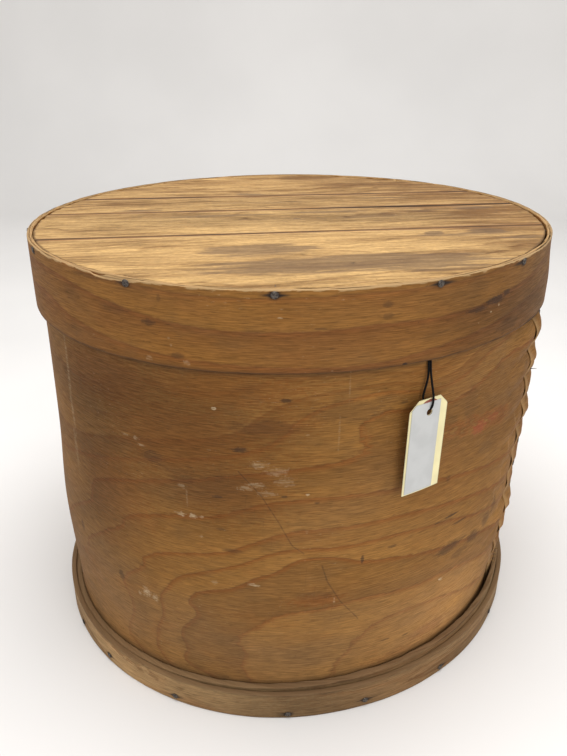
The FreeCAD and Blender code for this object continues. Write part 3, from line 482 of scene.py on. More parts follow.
def ring_field(rings, directions, heights, squeeze=2.4, slack=0.02):
    """A thin-plate surface through the ring marks: its whole numbers are the growth rings."""
    marks = np.array([(*place, number) for number, *places in rings for place in places], dtype=float)
    unit = 20.0 * MM
    along = np.radians(marks[:, 0]) * MEAN_RADIUS / squeeze / unit
    up = marks[:, 1] * MM / unit
    count = len(marks)
    squared = (along[:, None] - along) ** 2 + (up[:, None] - up) ** 2
    plane = np.stack([np.ones(count), along, up], axis=1)
    matrix = np.zeros((count + 3, count + 3))
    matrix[:count, :count] = plate_kernel(squared) + slack * np.eye(count)
    matrix[:count, count:] = plane
    matrix[count:, :count] = plane.T
    weights = np.linalg.solve(matrix, np.concatenate([marks[:, 2], np.zeros(3)]))
    x = np.radians(directions) * MEAN_RADIUS / squeeze / unit
    y = heights / unit
    field = weights[count] + weights[count + 1] * x + weights[count + 2] * y
    for number in range(count):
        field = field + weights[number] * plate_kernel((x - along[number]) ** 2 + (y - up[number]) ** 2)
    return field


def scratch_distance(directions, heights):
    """Signed distance across the nearest scratch, and a mask that fades past its ends."""
    along = np.radians(directions) * MEAN_RADIUS
    nearest = np.full(np.broadcast(along, heights).shape, SCRATCH_REACH * MM)
    mask = np.zeros(nearest.shape)
    for scratch in SCRATCHES:
        points = np.array(scratch, dtype=float)
        levels = points[:, 1] * MM
        places = np.radians(points[:, 0]) * MEAN_RADIUS
        line = np.interp(-heights, -levels, places)
        distance = along - line
        low, high = levels.min(), levels.max()
        inside = between(heights, low - 2 * MM, low, high, high + 2 * MM)
        closer = (np.abs(distance) < SCRATCH_REACH * MM) & (inside > 0)
        nearest = np.where(closer, distance, nearest)
        mask = np.where(closer, inside, mask)
    return nearest, mask


# ------------------------------------------------------------------ meshes

def edge_steps(length, step, fine=(0.0, 0.25 * MM, 0.6 * MM, 1.2 * MM)):
    """Places from 0 to a length, an even step apart and finer near both ends."""
    count = max(3, int(round((length - 2 * fine[-1]) / step)) + 1)
    middle = np.linspace(fine[-1], length - fine[-1], count)
    return np.concatenate([fine[:-1], middle, length - np.array(fine[:-1])[::-1]])


def edge_pull(distance, radius):
    """How far a rounded edge falls back at a distance from the edge."""
    share = np.clip(1 - distance / radius, 0, 1)
    return radius * (1 - np.sqrt(np.clip(1 - share * share, 0, 1)))


def new_piece(name, mesh):
    piece = bpy.data.objects.new(name, mesh)
    bpy.context.scene.collection.objects.link(piece)
    return piece


def listed_mesh(name, points, faces=()):
    """A smoothly shaded mesh from lists of points and faces."""
    mesh = bpy.data.meshes.new(name)
    mesh.from_pydata([tuple(point) for point in points], [], faces)
    mesh.polygons.foreach_set("use_smooth", np.full(len(mesh.polygons), True))
    return mesh


def built_piece(name, build, rounded=False):
    """A finished bmesh as an object."""
    mesh = bpy.data.meshes.new(name)
    build.to_mesh(mesh)
    build.free()
    if rounded:
        mesh.polygons.foreach_set("use_smooth", np.full(len(mesh.polygons), True))
    return new_piece(name, mesh)


def patterned_piece(name, points, faces, uvs, attributes):
    """A mesh object with a UV for each point and named float attributes."""
    mesh = listed_mesh(name, points, faces)
    mesh.update()
    layer = mesh.uv_layers.new(name="UVMap")
    corners = np.empty(len(mesh.loops), dtype=np.int32)
    mesh.loops.foreach_get("vertex_index", corners)
    layer.data.foreach_set("uv", uvs[corners].astype(np.float32).ravel())
    for label, values in attributes.items():
        store = mesh.attributes.new(label, "FLOAT", "POINT")
        store.data.foreach_set("value", np.asarray(values, dtype=np.float32).ravel())
    return new_piece(name, mesh)


def slab(name, outer, inner, uv, attributes):
    """A closed skin round two grids of points, counted along the piece and then across it."""
    count, rows = outer.shape[:2]
    points = np.concatenate([outer.reshape(-1, 3), inner.reshape(-1, 3)])
    shift = count * rows
    faces = []
    for i in range(count - 1):
        this = i * rows
        that = this + rows
        for j in range(rows - 1):
            faces.append((this + j, that + j, that + j + 1, this + j + 1))
            faces.append((shift + this + j, shift + this + j + 1, shift + that + j + 1, shift + that + j))
        top = rows - 1
        faces.append((this + top, that + top, shift + that + top, shift + this + top))
        faces.append((that, this, shift + this, shift + that))
    last = shift - rows
    for j in range(rows - 1):
        faces.append((j, j + 1, shift + j + 1, shift + j))
        faces.append((last + j + 1, last + j, shift + last + j, shift + last + j + 1))
    both = {label: np.tile(values.ravel(), 2) for label, values in attributes.items()}
    return patterned_piece(name, points, faces, np.tile(uv.reshape(-1, 2), (2, 1)), both)


def metric_uv(directions, heights):
    return np.stack([np.radians(directions) * MEAN_RADIUS + 0 * heights, heights + 0 * directions], axis=-1)


def steepness(field, directions, heights):
    """Rings a millimetre, worked out on the grid itself."""
    along = np.radians(directions[:, 0]) * MEAN_RADIUS / MM
    slope_u = np.gradient(field, along, axis=0)
    rise = np.gradient(heights, axis=1) / MM
    slope_v = np.gradient(field, axis=1) / np.maximum(rise, 0.05)
    return np.hypot(slope_u, slope_v)


def scallops(heights, column=None, sharpness=1.0):
    """The swelling between the staples, from 0 at them to the height in a column of SCALLOPS, or to 1."""
    total = np.zeros(heights.shape)
    for scallop in SCALLOPS:
        share = np.clip(1 - ((heights / MM - scallop[0]) / scallop[1]) ** 2, 0, 1) ** sharpness
        total = np.maximum(total, share if column is None else scallop[column] * share)
    return total if column is None else total * MM


def seam_relief(directions, heights):
    """How far both layers of the lap stand out near the seam."""
    local = np.where(directions < 0, directions + FULL_TURN, directions)
    levels, rises = np.array(SEAM_RISE, dtype=float).T
    broad = between(local, 262, 286, 291, 322)
    near = between(local, 273, 287, 288, 303)
    rise = np.interp(heights / MM, levels, rises) * MM
    along = np.radians(local) * MEAN_RADIUS
    folds = waves(heights + 1.2 * along, along, 211, 22 * MM, 90 * MM, 10) * 0.45 * MM
    folds = folds * between(local, 250, 272, 292, 310)
    free = between(heights, 35 * MM, 55 * MM, 250 * MM, 266 * MM)
    bulge = scallops(heights, BOTH_LAYERS) + 0.75 * scallops(heights, LOOSE_LAYER)
    return rise * broad + bulge * near + folds * free


def hoop_lean(directions):
    """1 where the inner band stands highest and 0 opposite."""
    return 0.5 + 0.5 * np.cos(np.radians(directions - INNER_BAND_HIGH_DIRECTION))


def hoop_level(directions):
    """The height of the inner band's top edge."""
    return INNER_BAND_LOW + (INNER_BAND_HIGH - INNER_BAND_LOW) * hoop_lean(directions) ** 1.9


def broad_shade(directions, heights, marks):
    """Large areas of painted light and shade, with some of the wood's own tone, as a share to add to its
    brightness.
    """
    total = np.zeros(directions.shape)
    for direction, height, half_length, half_height, amount in marks:
        away = turned(directions, direction) / math.degrees(half_length * MM / MEAN_RADIUS)
        rise = (heights - height * MM) / (half_height * MM)
        total += amount * np.exp(-away ** 2 - rise ** 2)
    return total


def make_wall(form):
    """The wall's sheet, with its lap and its curled, stapled margin."""
    margin = np.linspace(1.0, 0.0, MARGIN_STEPS)
    step = math.degrees(form.wall_column / MEAN_RADIUS)
    main = np.linspace(MARGIN_ROOT, INNER_END, int((INNER_END - MARGIN_ROOT) / step) + 1)
    directions = np.concatenate([(MARGIN_ROOT - MARGIN_ANGLE * margin)[:-1], main])[:, None]
    # 1 at the loose edge and 0 from the margin's root on
    share = np.concatenate([margin[:-1], np.zeros(main.size)])[:, None]
    heights = edge_steps(WALL_TOP, form.wall_row)[None, :]
    jag = roughness_line(heights[0], form.seed + 3, (9 * MM, 3.2 * MM))[None, :] - 0.5
    directions = directions + MARGIN_ANGLE * 0.09 * jag * share ** 3
    heights = heights + 0 * directions
    edge = np.minimum(heights, WALL_TOP - heights)
    lift = 0.25 * scallops(heights, LOOSE_LAYER, 4.0) - 0.28 * MM * (1 - scallops(heights) ** 5)
    curl = lift * share ** 2 * (1 + 0.4 * jag * share)
    free = between(heights, INNER_BAND_HIGH, INNER_BAND_HIGH + 25 * MM, RIM_BOTTOM - 14 * MM, RIM_BOTTOM)
    wave = ring_waves(directions, heights, form.seed, 13, 240 * MM) * form.wall_wave * (0.2 + 0.8 * free)
    worn = edge_pull(edge, form.edge_round)
    side = turned(directions, 0)
    swell = np.exp(-((np.abs(side) - 150) / 17) ** 2) * (side > 0) * np.exp(-((heights / MM - 108) / 52) ** 2)
    swell = SIDE_SWELL * swell * smooth(heights, 31 * MM, 62 * MM)
    relief = np.clip(wave, -0.75 * MM, 0.75 * MM) + curl + seam_relief(directions, heights) + swell
    feathered = 2.5 * MM * share ** 1.5
    outer = wall_sheet(directions, relief - worn - feathered, heights)
    inner = wall_sheet(directions, relief + WALL_INSIDE + worn, heights)
    rings = ring_field(WALL_RINGS, directions, heights)
    scratch, scratch_mask = scratch_distance(directions, heights)
    # weathered grey low down and at the left
    grey = 0.7 * smooth(-directions, -212, -160) * smooth(-heights, -0.2, -0.08)
    grey = grey + 0.9 * smooth(-heights, -0.13, -0.04)
    grey = grey + 0.3 * smooth(directions, 225, 262) * smooth(-heights, -0.13, -0.05)
    grey = grey * smooth(directions, 60, 140) + 0.02
    grey = grey + 0.2 * waves(directions / 60, heights / 0.1, form.seed + 9, 1.0, 1.0)
    # darker just above the hoop's inner band, and a painted shadow line on the wall under the rim's edge
    joint = smooth(hoop_level(directions) + 5 * MM - heights, 0, 5 * MM)
    rim_shadow_line = 0.8 * between(heights, 269 * MM, 274.4 * MM, 276 * MM, 284 * MM)
    attributes = {
        "ring": rings, "slope": steepness(rings, directions, heights), "scratch": scratch / MM,
        "scratch_mask": scratch_mask, "weather": np.clip(grey, 0, 1), "edge": edge / MM,
        "curled": share + 0 * heights, "grime": np.maximum(rim_shadow_line, 0.5 * joint),
        "shade": broad_shade(directions, heights, WALL_SHADES),
    }
    return slab("wall_sheet", outer, inner, metric_uv(directions, heights), attributes)


def make_strip(
    name, form, inside, outside, joint, bottom, top, field, seed, stain=None, rounding=1.0, shades=(),
    top_darkening=(0, 1), foot_darkening=(0, 1), greying=None, bulge=None,
):
    """A bent strip with a slanting joint, worn edges and a wavy face.

    bottom, top, field, stain, greying and bulge, and inside where it isn't a number, are functions of the
    direction, some of them of the height too. top_darkening and foot_darkening are how dark the top and the
    foot are made, partly dirt and partly painted shade, and how far it reaches.
    """
    step = math.degrees(form.strip_step / MEAN_RADIUS)
    count = int(FULL_TURN / step)
    directions = np.linspace(joint + SCARF_HALF, joint + SCARF_HALF + FULL_TURN - SCARF_GAP, count)[:, None]
    foot = bottom(directions)
    head = top(directions)
    tall = float(np.max(head - foot))
    shares = edge_steps(tall, 1.7 * MM)[None, :] / tall
    heights = foot + (head - foot) * shares
    wave = ring_waves(directions, heights, seed, 19, 120 * MM) * form.strip_wave
    distance = np.minimum(shares, 1 - shares) * (head - foot)
    near = inside(directions) if callable(inside) else inside
    thinnest = float(np.min(outside - near))
    worn = edge_pull(distance, min(form.edge_round * rounding, thinnest * 0.45))
    push = bulge(directions, heights) if bulge else 0.0
    outer = oval(directions, outside - worn + np.minimum(wave, 0) + push, heights)
    inner = oval(directions - 2 * SCARF_HALF, near + worn + push, heights)
    shaded_and_soiled = top_darkening[0] * smooth(heights - head, -top_darkening[1] * MM, 0.0)
    shaded_and_soiled = np.maximum(shaded_and_soiled, foot_darkening[0] * smooth(foot - heights, -foot_darkening[1] * MM, 0.0))
    around = directions + 0 * heights
    rings = field(around, heights)
    attributes = {
        "ring": rings, "slope": steepness(rings, around, heights), "edge": (head - heights) / MM,
        "stain": stain(around, heights) if stain else 0 * rings, "grime": shaded_and_soiled,
        "shade": broad_shade(around, heights, shades),
        "weather": (greying(directions) if greying else 0.0) + 0 * rings,
    }
    return slab(name, outer, inner, metric_uv(directions, heights), attributes)


def broken(directions, seed, depth, steps=(16 * MM, 5 * MM), sharpness=2.0):
    """How far an edge is broken away round the box."""
    along = np.radians(directions) * MEAN_RADIUS
    return depth * roughness_line(along, seed, steps) ** sharpness


def lid_outline():
    """The lid's edge in the boards' own frame: how far it reaches along the grain at each place across it."""
    directions = np.linspace(0, FULL_TURN, 7201)
    edge = oval(directions, LID_EDGE, 0.0)
    along = edge[:, 0] * math.cos(LID_GRAIN) + edge[:, 1] * math.sin(LID_GRAIN)
    across = -edge[:, 0] * math.sin(LID_GRAIN) + edge[:, 1] * math.cos(LID_GRAIN)
    top = int(np.argmax(across))
    low = int(np.argmin(across))
    first, last = min(top, low), max(top, low)
    sides = []
    over_the_end = np.concatenate([np.arange(last, directions.size), np.arange(0, first + 1)])
    for part in (np.arange(first, last + 1), over_the_end):
        order = part[np.argsort(across[part])]
        sides.append((across[order], along[order]))
    sides.sort(key=lambda side: side[1][len(side[1]) // 2])
    return sides, float(across[low]), float(across[top])


def blobs(marks, along, across, join=np.maximum, power=1.5):
    """Soft marks, each an ellipse along the grain, joined as their highest or their sum."""
    total = np.zeros(along.shape)
    for u, v, half_u, half_v, strength in marks:
        reach = ((along - u * MM) / (half_u * MM)) ** 2 + ((across - v * MM) / (half_v * MM)) ** 2
        total = join(total, strength * np.exp(-reach ** power))
    return total


def make_board(number, low, high, form):
    """One lid board: its grain stands in ridges, its edges are worn and its ends follow the rim."""
    (left, right), lowest, highest = lid_outline()
    seed = form.seed + 40 * number
    width = high - low
    count = int(width / form.board_step) + 8
    share = np.linspace(0, 1, count)
    # the two outer boards taper to a point, so their rows bunch towards it
    bunched = width * 0.9995 * (1 - share ** 1.7)
    fine = np.array([0.0, 0.25, 0.6, 1.2]) * MM
    if low <= lowest:
        across = np.sort(high - bunched)
        across = np.concatenate([across[across < high - 1.3 * MM], high - fine[::-1]])
    elif high >= highest:
        across = np.sort(low + bunched)
        across = np.concatenate([low + fine, across[across > low + 1.3 * MM]])
    else:
        across = low + edge_steps(width, form.board_step)
    reach = 2 * HALF_LENGTH
    spread = edge_steps(reach, form.board_step, (0.0, 0.3 * MM, 0.8 * MM, 1.6 * MM, 2.6 * MM)) / reach
    start = np.interp(across, *left)[None, :]
    end = np.interp(across, *right)[None, :]
    along = start + (end - start) * spread[:, None]
    across = across[None, :] + 0 * along
    edge_along = np.minimum(along - start, end - along)
    lip = np.full(across.shape, 0.05)
    if low > lowest:
        lip = np.minimum(lip, across - low)
    if high < highest:
        lip = np.minimum(lip, high - across)
    ragged = 0.5 + 0.5 * waves(along, across, seed + 1, 60 * MM, 30 * MM)
    chip = 0.5 + 0.5 * waves(along, across, seed + 2, 14 * MM, 14 * MM)
    ridges = waves(along, across, seed + 3, 260 * MM, 4.2 * MM, 22)
    ridges = ridges + 0.6 * waves(along, across, seed + 4, 120 * MM, 9 * MM)
    cup = waves(along, across, seed + 5, 500 * MM, 120 * MM, 6) * 0.25 * MM
    fall = edge_pull(lip, form.board_wear * (0.45 + 0.75 * ragged)) * 0.8
    fall = fall + edge_pull(edge_along, form.board_wear * (0.6 + 1.6 * chip * chip + 0.8 * ragged))
    height = LID_TOP - 0.3 * MM + np.clip(cup + ridges * form.board_ridge, -0.5 * MM, 0.5 * MM) - fall
    top = np.stack([along, across, height], axis=-1)
    under = np.stack([along, across, np.full(along.shape, WALL_TOP)], axis=-1)
    cosine, sine = math.cos(LID_GRAIN), math.sin(LID_GRAIN)
    turn = np.array([[cosine, -sine, 0], [sine, cosine, 0], [0, 0, 1]])
    dull = smooth(along + 0.35 * across, 20 * MM, 150 * MM) + 0.35 * smooth(across, 20 * MM, 60 * MM)
    attributes = {
        "stain": blobs(LID_STAINS, along, across), "glow": blobs(LID_GLOWS, along, across),
        "edge": edge_along / MM, "lip": lip / MM, "dull": np.clip(dull, 0, 1),
        "shade": blobs(LID_SHADES, along, across, np.add, 1),
    }
    plank = slab(
        f"lid_plank_{number}", top @ turn.T, under @ turn.T, np.stack([along, across], axis=-1), attributes,
    )
    return flip_if_inside_out(plank)


def flip_if_inside_out(piece):
    """Turns every face round if the closed mesh's volume comes out negative."""
    grown = bmesh.new()
    grown.from_mesh(piece.data)
    if grown.calc_volume(signed=True) < 0:
        bmesh.ops.reverse_faces(grown, faces=grown.faces)
        grown.to_mesh(piece.data)
    grown.free()
    return piece


def tube(points, radius, sides):
    """A closed tube along points, as vertices and faces."""
    rings = []
    faces = []
    for number, point in enumerate(points):
        before = points[max(number - 1, 0)]
        after = points[min(number + 1, len(points) - 1)]
        heading = (after - before).normalized()
        side = heading.orthogonal().normalized()
        if rings:
            side = (last_side - heading * last_side.dot(heading)).normalized()
        last_side = side
        up = heading.cross(side)
        angles = [2 * math.pi * step / sides for step in range(sides)]
        rings.append([point + (side * math.cos(angle) + up * math.sin(angle)) * radius for angle in angles])
    for number in range(len(points) - 1):
        for step in range(sides):
            following = (step + 1) % sides
            first = number * sides
            faces.append((first + step, first + following, first + sides + following, first + sides + step))
    faces.append(tuple(range(sides))[::-1])
    faces.append(tuple(range(len(points) * sides - sides, len(points) * sides)))
    return [corner for ring in rings for corner in ring], faces


def make_slivers(name, items):
    """Small tapered slivers that stand out of the wall's loose edge."""
    build = bmesh.new()
    for direction, height, length, rise, thick in items:
        here = np.array(direction)
        level = np.array(height * MM)
        root = Vector(wall_sheet(here, seam_relief(here, level) - 1.0 * MM, level))
        heading = (outward(direction) * length + Vector((0, 0, rise))).normalized()
        turn = heading.to_track_quat("Z", "Y").to_matrix().to_4x4()
        middle = Matrix.Translation(root + heading * length * MM / 2)
        bmesh.ops.create_cone(
            build, cap_ends=True, segments=6, radius1=thick * MM, radius2=0.3 * thick * MM,
            depth=length * MM, matrix=middle @ turn,
        )
    return flip_if_inside_out(built_piece(name, build))


# ------------------------------------------------------------------ fasteners

# head radius, head height, shank thickness and length
NAIL = (2.3 * MM, 0.85 * MM, 1.6 * MM, 12 * MM)
TACK = (1.6 * MM, 0.7 * MM, 1.0 * MM, 3.0 * MM)
# crown, wire and leg
STAPLE = (9 * MM, 1.2 * MM, 4.5 * MM)
# how far the CAD heads and staples stand out of the wood, and how far the dressed staples are pressed in
CAD_HEAD = 0.9 * MM
CAD_STAPLE = 1.2 * MM
STAPLE_PRESS = 0.35 * MM
TOP_STAPLE_PRESS = 1.25 * MM


def islands(node):
    """The separate solids of a CAD node, each as an array of its points."""
    merged = bmesh.new()
    merged.from_mesh(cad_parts[node].data)
    bmesh.ops.remove_doubles(merged, verts=merged.verts, dist=1e-6)
    merged.verts.ensure_lookup_table()
    seen = set()
    groups = []
    for vertex in merged.verts:
        if vertex.index in seen:
            continue
        seen.add(vertex.index)
        queue = [vertex]
        found = []
        while queue:
            current = queue.pop()
            found.append(list(current.co))
            for edge in current.link_edges:
                other = edge.other_vert(current)
                if other.index not in seen:
                    seen.add(other.index)
                    queue.append(other)
        groups.append(np.array(found))
    merged.free()
    return groups


def nearest_direction(point):
    """The outline's normal direction at the place nearest to a point."""
    directions = np.arange(0, FULL_TURN, 0.1)
    edge = oval(directions, 0.0, 0.0)
    return float(directions[np.argmin(np.hypot(edge[:, 0] - point[0], edge[:, 1] - point[1]))])


def fastener_places(node, depth):
    """Where each fastener's head meets the wood, and its direction; depth is the height of its head."""
    places = []
    for group in islands(node):
        direction = nearest_direction(group.mean(axis=0))
        axis = np.array(outward(direction))
        reach = (group @ axis).max() - depth
        middle = (group.min(axis=0) + group.max(axis=0)) / 2
        along = np.array([-axis[1], axis[0], 0.0])
        head = axis * reach + along * (middle @ along)
        places.append((Vector((head[0], head[1], middle[2])), direction))
    return sorted(places, key=lambda place: (place[1], place[0].z))


def nail_form(name, radius, height, shank, length, sides=14):
    """A hammered nail along -X: a domed head and a square shank."""
    profile = ((1.0, 0.0), (1.03, 0.35), (0.9, 0.75), (0.62, 0.97), (0.25, 0.9))
    rng = np.random.default_rng(sides)
    build = bmesh.new()
    rings = []
    uneven = rng.uniform(0.92, 1.06, sides)
    for reach, level in profile:
        ring = []
        for step in range(sides):
            angle = 2 * math.pi * step / sides
            wide = radius * reach * uneven[step]
            ring.append(build.verts.new((height * level, wide * math.cos(angle), wide * math.sin(angle))))
        rings.append(ring)
    for first, second in zip(rings, rings[1:]):
        for step in range(sides):
            following = (step + 1) % sides
            build.faces.new((first[step], first[following], second[following], second[step]))
    build.faces.new(rings[-1])
    build.faces.new(rings[0][::-1])
    bmesh.ops.create_cube(
        build, size=1.0,
        matrix=Matrix.Translation((-length / 2, 0, 0)) @ Matrix.Diagonal((length, shank, shank, 1.0)),
    )
    bmesh.ops.recalc_face_normals(build, faces=build.faces)
    return built_piece(name, build, rounded=True)


def staple_form(name, crown, wire, leg):
    """A wire staple: its crown upright just outside the wood and its legs along -X."""
    half = crown / 2 - wire / 2
    out = wire / 2
    route = [(-leg, -half), (-0.6 * wire, -half), (out * 0.6, -half * 0.97), (out, -half * 0.8)]
    route = route + [(out * 1.1, 0)] + [(x, -z) for x, z in route[::-1]]
    points, faces = tube([Vector((x, 0, z)) for x, z in route], wire / 2, 8)
    return flip_if_inside_out(new_piece(name, listed_mesh(name, points, faces)))


def fastener_tree():
    """Geometry Nodes that drive one fastener into each point, turned and sized a little at random."""
    tree = bpy.data.node_groups.new("Driven fasteners", "GeometryNodeTree")
    sockets = (
        ("Places", "Geometry"), ("Form", "Object"), ("Spin", "Float"), ("Tilt", "Float"),
        ("Unevenness", "Float"), ("Seed", "Int"), ("Finish", "Material"),
    )
    for name, kind in sockets:
        tree.interface.new_socket(name=name, in_out="INPUT", socket_type=f"NodeSocket{kind}")
    tree.interface.new_socket(name="Fasteners", in_out="OUTPUT", socket_type="NodeSocketGeometry")
    wiring = Wiring(tree)
    given = wiring.node("NodeGroupInput").outputs
    form = wiring.node("GeometryNodeObjectInfo", {"Object": given["Form"]})
    heading = wiring.node("GeometryNodeInputNamedAttribute", {"Name": "heading"}, data_type="FLOAT")

    def chance(seed, low, high):
        kind = "FunctionNodeRandomValue"
        return wiring.node(kind, {8: seed, 2: low, 3: high}, data_type="FLOAT").outputs[1]

    spin = chance(given["Seed"], wiring.times(given["Spin"], -1.0), given["Spin"])
    tilt = chance(wiring.plus(given["Seed"], 1.0), wiring.times(given["Tilt"], -1.0), given["Tilt"])
    size = chance(wiring.plus(given["Seed"], 2.0), wiring.minus(1.0, given["Unevenness"]), 1.0)
    stamped = wiring.node("GeometryNodeInstanceOnPoints", {
        "Points": given["Places"], "Instance": form.outputs["Geometry"],
        "Rotation": wiring.triple(spin, tilt, heading.outputs[0]), "Scale": size,
    })
    real = wiring.node("GeometryNodeRealizeInstances", {0: stamped.outputs[0]})
    dressed = wiring.node(
        "GeometryNodeSetMaterial", {"Geometry": real.outputs[0], "Material": given["Finish"]},
    )
    wiring.node("NodeGroupOutput", {0: dressed.outputs[0]})
    return tree


def drive(name, places, form, tree, material, spin, tilt, unevenness, seed):
    """Stamps a fastener at each place and returns them as one plain mesh."""
    mesh = listed_mesh(f"{name}_places", [point for point, _ in places])
    heading = mesh.attributes.new("heading", "FLOAT", "POINT")
    heading.data.foreach_set("value", [math.radians(direction) for _, direction in places])
    carrier = new_piece(f"{name}_places", mesh)
    modifier = carrier.modifiers.new("Driven fasteners", "NODES")
    modifier.node_group = tree
    values = {
        "Form": form, "Spin": spin, "Tilt": tilt, "Unevenness": unevenness, "Seed": seed, "Finish": material,
    }
    for socket in tree.interface.items_tree:
        if socket.in_out == "INPUT" and socket.name in values:
            modifier[socket.identifier] = values[socket.name]
    depsgraph = bpy.context.evaluated_depsgraph_get()
    result = bpy.data.meshes.new_from_object(carrier.evaluated_get(depsgraph), depsgraph=depsgraph)
    result.name = name
    bpy.data.objects.remove(carrier)
    bpy.data.objects.remove(form)
    return new_piece(name, result)


# ------------------------------------------------------------------ node helpers

class Wiring:
    """Adds nodes to a tree and joins them."""

    def __init__(self, tree):
        self.tree = tree

    def put(self, socket, value):
        if isinstance(value, bpy.types.NodeSocket):
            self.tree.links.new(value, socket)
        elif value is not None:
            if socket.type == "RGBA" and len(value) == 3:
                value = (*value, 1.0)
            socket.default_value = value

    def node(self, kind, values=(), **settings):
        item = self.tree.nodes.new(kind)
        item.location.x = 200.0 * len(self.tree.nodes)
        for name, value in settings.items():
            setattr(item, name, value)
        for socket, value in dict(values).items():
            self.put(item.inputs[socket], value)
        return item

    def math(self, operation, first, second=0.0, clamp=False):
        item = self.node("ShaderNodeMath", {0: first, 1: second}, operation=operation, use_clamp=clamp)
        return item.outputs[0]

    def times(self, first, second):
        return self.math("MULTIPLY", first, second)

    def over(self, first, second):
        return self.math("DIVIDE", first, second)

    def plus(self, first, second, clamp=False):
        return self.math("ADD", first, second, clamp)

    def minus(self, first, second, clamp=False):
        return self.math("SUBTRACT", first, second, clamp)

    def vector(self, operation, *values):
        return self.node("ShaderNodeVectorMath", dict(enumerate(values)), operation=operation).outputs

    def triple(self, x, y, z, kind="ShaderNodeCombineXYZ"):
        return self.node(kind, {0: x, 1: y, 2: z}).outputs[0]

    def noise(self, vector, scale=1.0, detail=2.0, roughness=0.6):
        values = {"Vector": vector, "Scale": scale, "Detail": detail, "Roughness": roughness}
        return self.node("ShaderNodeTexNoise", values).outputs[0]

    def grain(self, vector, along, across, detail=2.0, roughness=0.6):
        """Noise with so many waves a metre along the grain and across it."""
        return self.noise(self.vector("MULTIPLY", vector, (along, across, 1.0))[0], 1.0, detail, roughness)

    def span(self, value, low, high, start=0.0, end=1.0):
        """A smooth step: start below low and end above high."""
        values = {0: value, 1: low, 2: high, 3: start, 4: end}
        return self.node("ShaderNodeMapRange", values, interpolation_type="SMOOTHSTEP").outputs[0]

    def blend(self, factor, first, second, kind="MIX"):
        item = self.node("ShaderNodeMix", {0: factor, 6: first, 7: second}, data_type="RGBA", blend_type=kind)
        return item.outputs[2]

    def coat(self, colour, tint, mask, share=None):
        """A tint laid over a colour where the mask says, at a share of its strength."""
        return self.blend(mask if share is None else self.times(mask, share), colour, tint)

    def shaded(self, colour, shadow):
        """A colour times a grey."""
        grey = self.triple(shadow, shadow, shadow, "ShaderNodeCombineColor")
        return self.blend(1.0, colour, grey, "MULTIPLY")

    def tones(self, value, reach, stops):
        """A curve of grey tones over a range of values."""
        low, high = reach
        share = self.node("ShaderNodeMapRange", {0: value, 1: low, 2: high}).outputs[0]
        item = self.node("ShaderNodeValToRGB", {0: share})
        elements = item.color_ramp.elements
        while len(elements) < len(stops):
            elements.new(0.5)
        for element, (place, tone) in zip(elements, stops):
            element.position = (place - low) / (high - low)
            element.color = (tone, tone, tone, 1.0)
        return item.outputs[0]

    def field(self, name):
        return self.node("ShaderNodeAttribute", attribute_name=name).outputs[2]

    def group(self, tree, **values):
        """A shared group's outputs; an input's name has its spaces as underscores."""
        given = {name.replace("_", " "): value for name, value in values.items()}
        return self.node("ShaderNodeGroup", given, node_tree=tree).outputs


class Finish(Wiring):
    """A material with its shader and the place that its patterns are drawn on."""

    def __init__(self, name, on_object=False):
        self.material = bpy.data.materials.new(name)
        self.material.use_nodes = True
        self.material.node_tree.nodes.clear()
        super().__init__(self.material.node_tree)
        self.shader = self.node("ShaderNodeBsdfPrincipled")
        self.node("ShaderNodeOutputMaterial", {"Surface": self.shader.outputs[0]})
        if on_object:
            self.place = self.node("ShaderNodeTexCoord").outputs["Object"]
        else:
            self.place = self.node("ShaderNodeUVMap", uv_map="UVMap").outputs[0]

    def fill(self, **sockets):
        """Sets or links the shader's sockets and gives back the material."""
        for name, value in sockets.items():
            self.put(self.shader.inputs[name.replace("_", " ")], value)
        return self.material

    def emboss(self, height, strength, distance):
        bump = self.node("ShaderNodeBump", {"Height": height, "Strength": strength, "Distance": distance})
        self.fill(Normal=bump.outputs[0])


# ------------------------------------------------------------------ shared shader groups

def open_group(name, **inputs):
    """A shader group's wiring and its inputs: numbers, or vectors where they have no default."""
    tree = bpy.data.node_groups.new(name, "ShaderNodeTree")
    for label, default in inputs.items():
        kind = "NodeSocketVector" if default is None else "NodeSocketFloat"
        socket = tree.interface.new_socket(name=label.replace("_", " "), in_out="INPUT", socket_type=kind)
        if default is not None:
            socket.default_value = default
    wiring = Wiring(tree)
    return wiring, wiring.node("NodeGroupInput").outputs


def close_group(wiring, **outputs):
    """Gives a shader group its outputs, which are all numbers."""
    for label in outputs:
        wiring.tree.interface.new_socket(name=label, in_out="OUTPUT", socket_type="NodeSocketFloat")
    wiring.node("NodeGroupOutput", outputs)
    return wiring.tree


@cache
def fibre_group():
    """Grain of cut wood along the first direction: fine fibres, longer streaks, broad patches and pores."""
    wiring, given = open_group("Wood fibre", Place=None, Fibre_length=0.012, Fibre_width=0.0007, Seed=0.0)
    along = wiring.over(1.0, given["Fibre length"])
    across = wiring.over(1.0, given["Fibre width"])
    offset = wiring.triple(given["Seed"], given["Seed"], given["Seed"])
    scaled = wiring.vector("MULTIPLY_ADD", given["Place"], wiring.triple(along, across, 1.0), offset)[0]
    pore = wiring.grain(scaled, 2.2, 1.3, 1.0, 0.5)
    return close_group(
        wiring, Fibre=wiring.noise(scaled, 1.0, 3.0, 0.62), Streak=wiring.grain(scaled, 0.34, 0.3, 3.0, 0.55),
        Patch=wiring.grain(scaled, 0.16, 0.028, 3.0, 0.55), Pore=wiring.span(pore, 0.62, 0.74),
    )


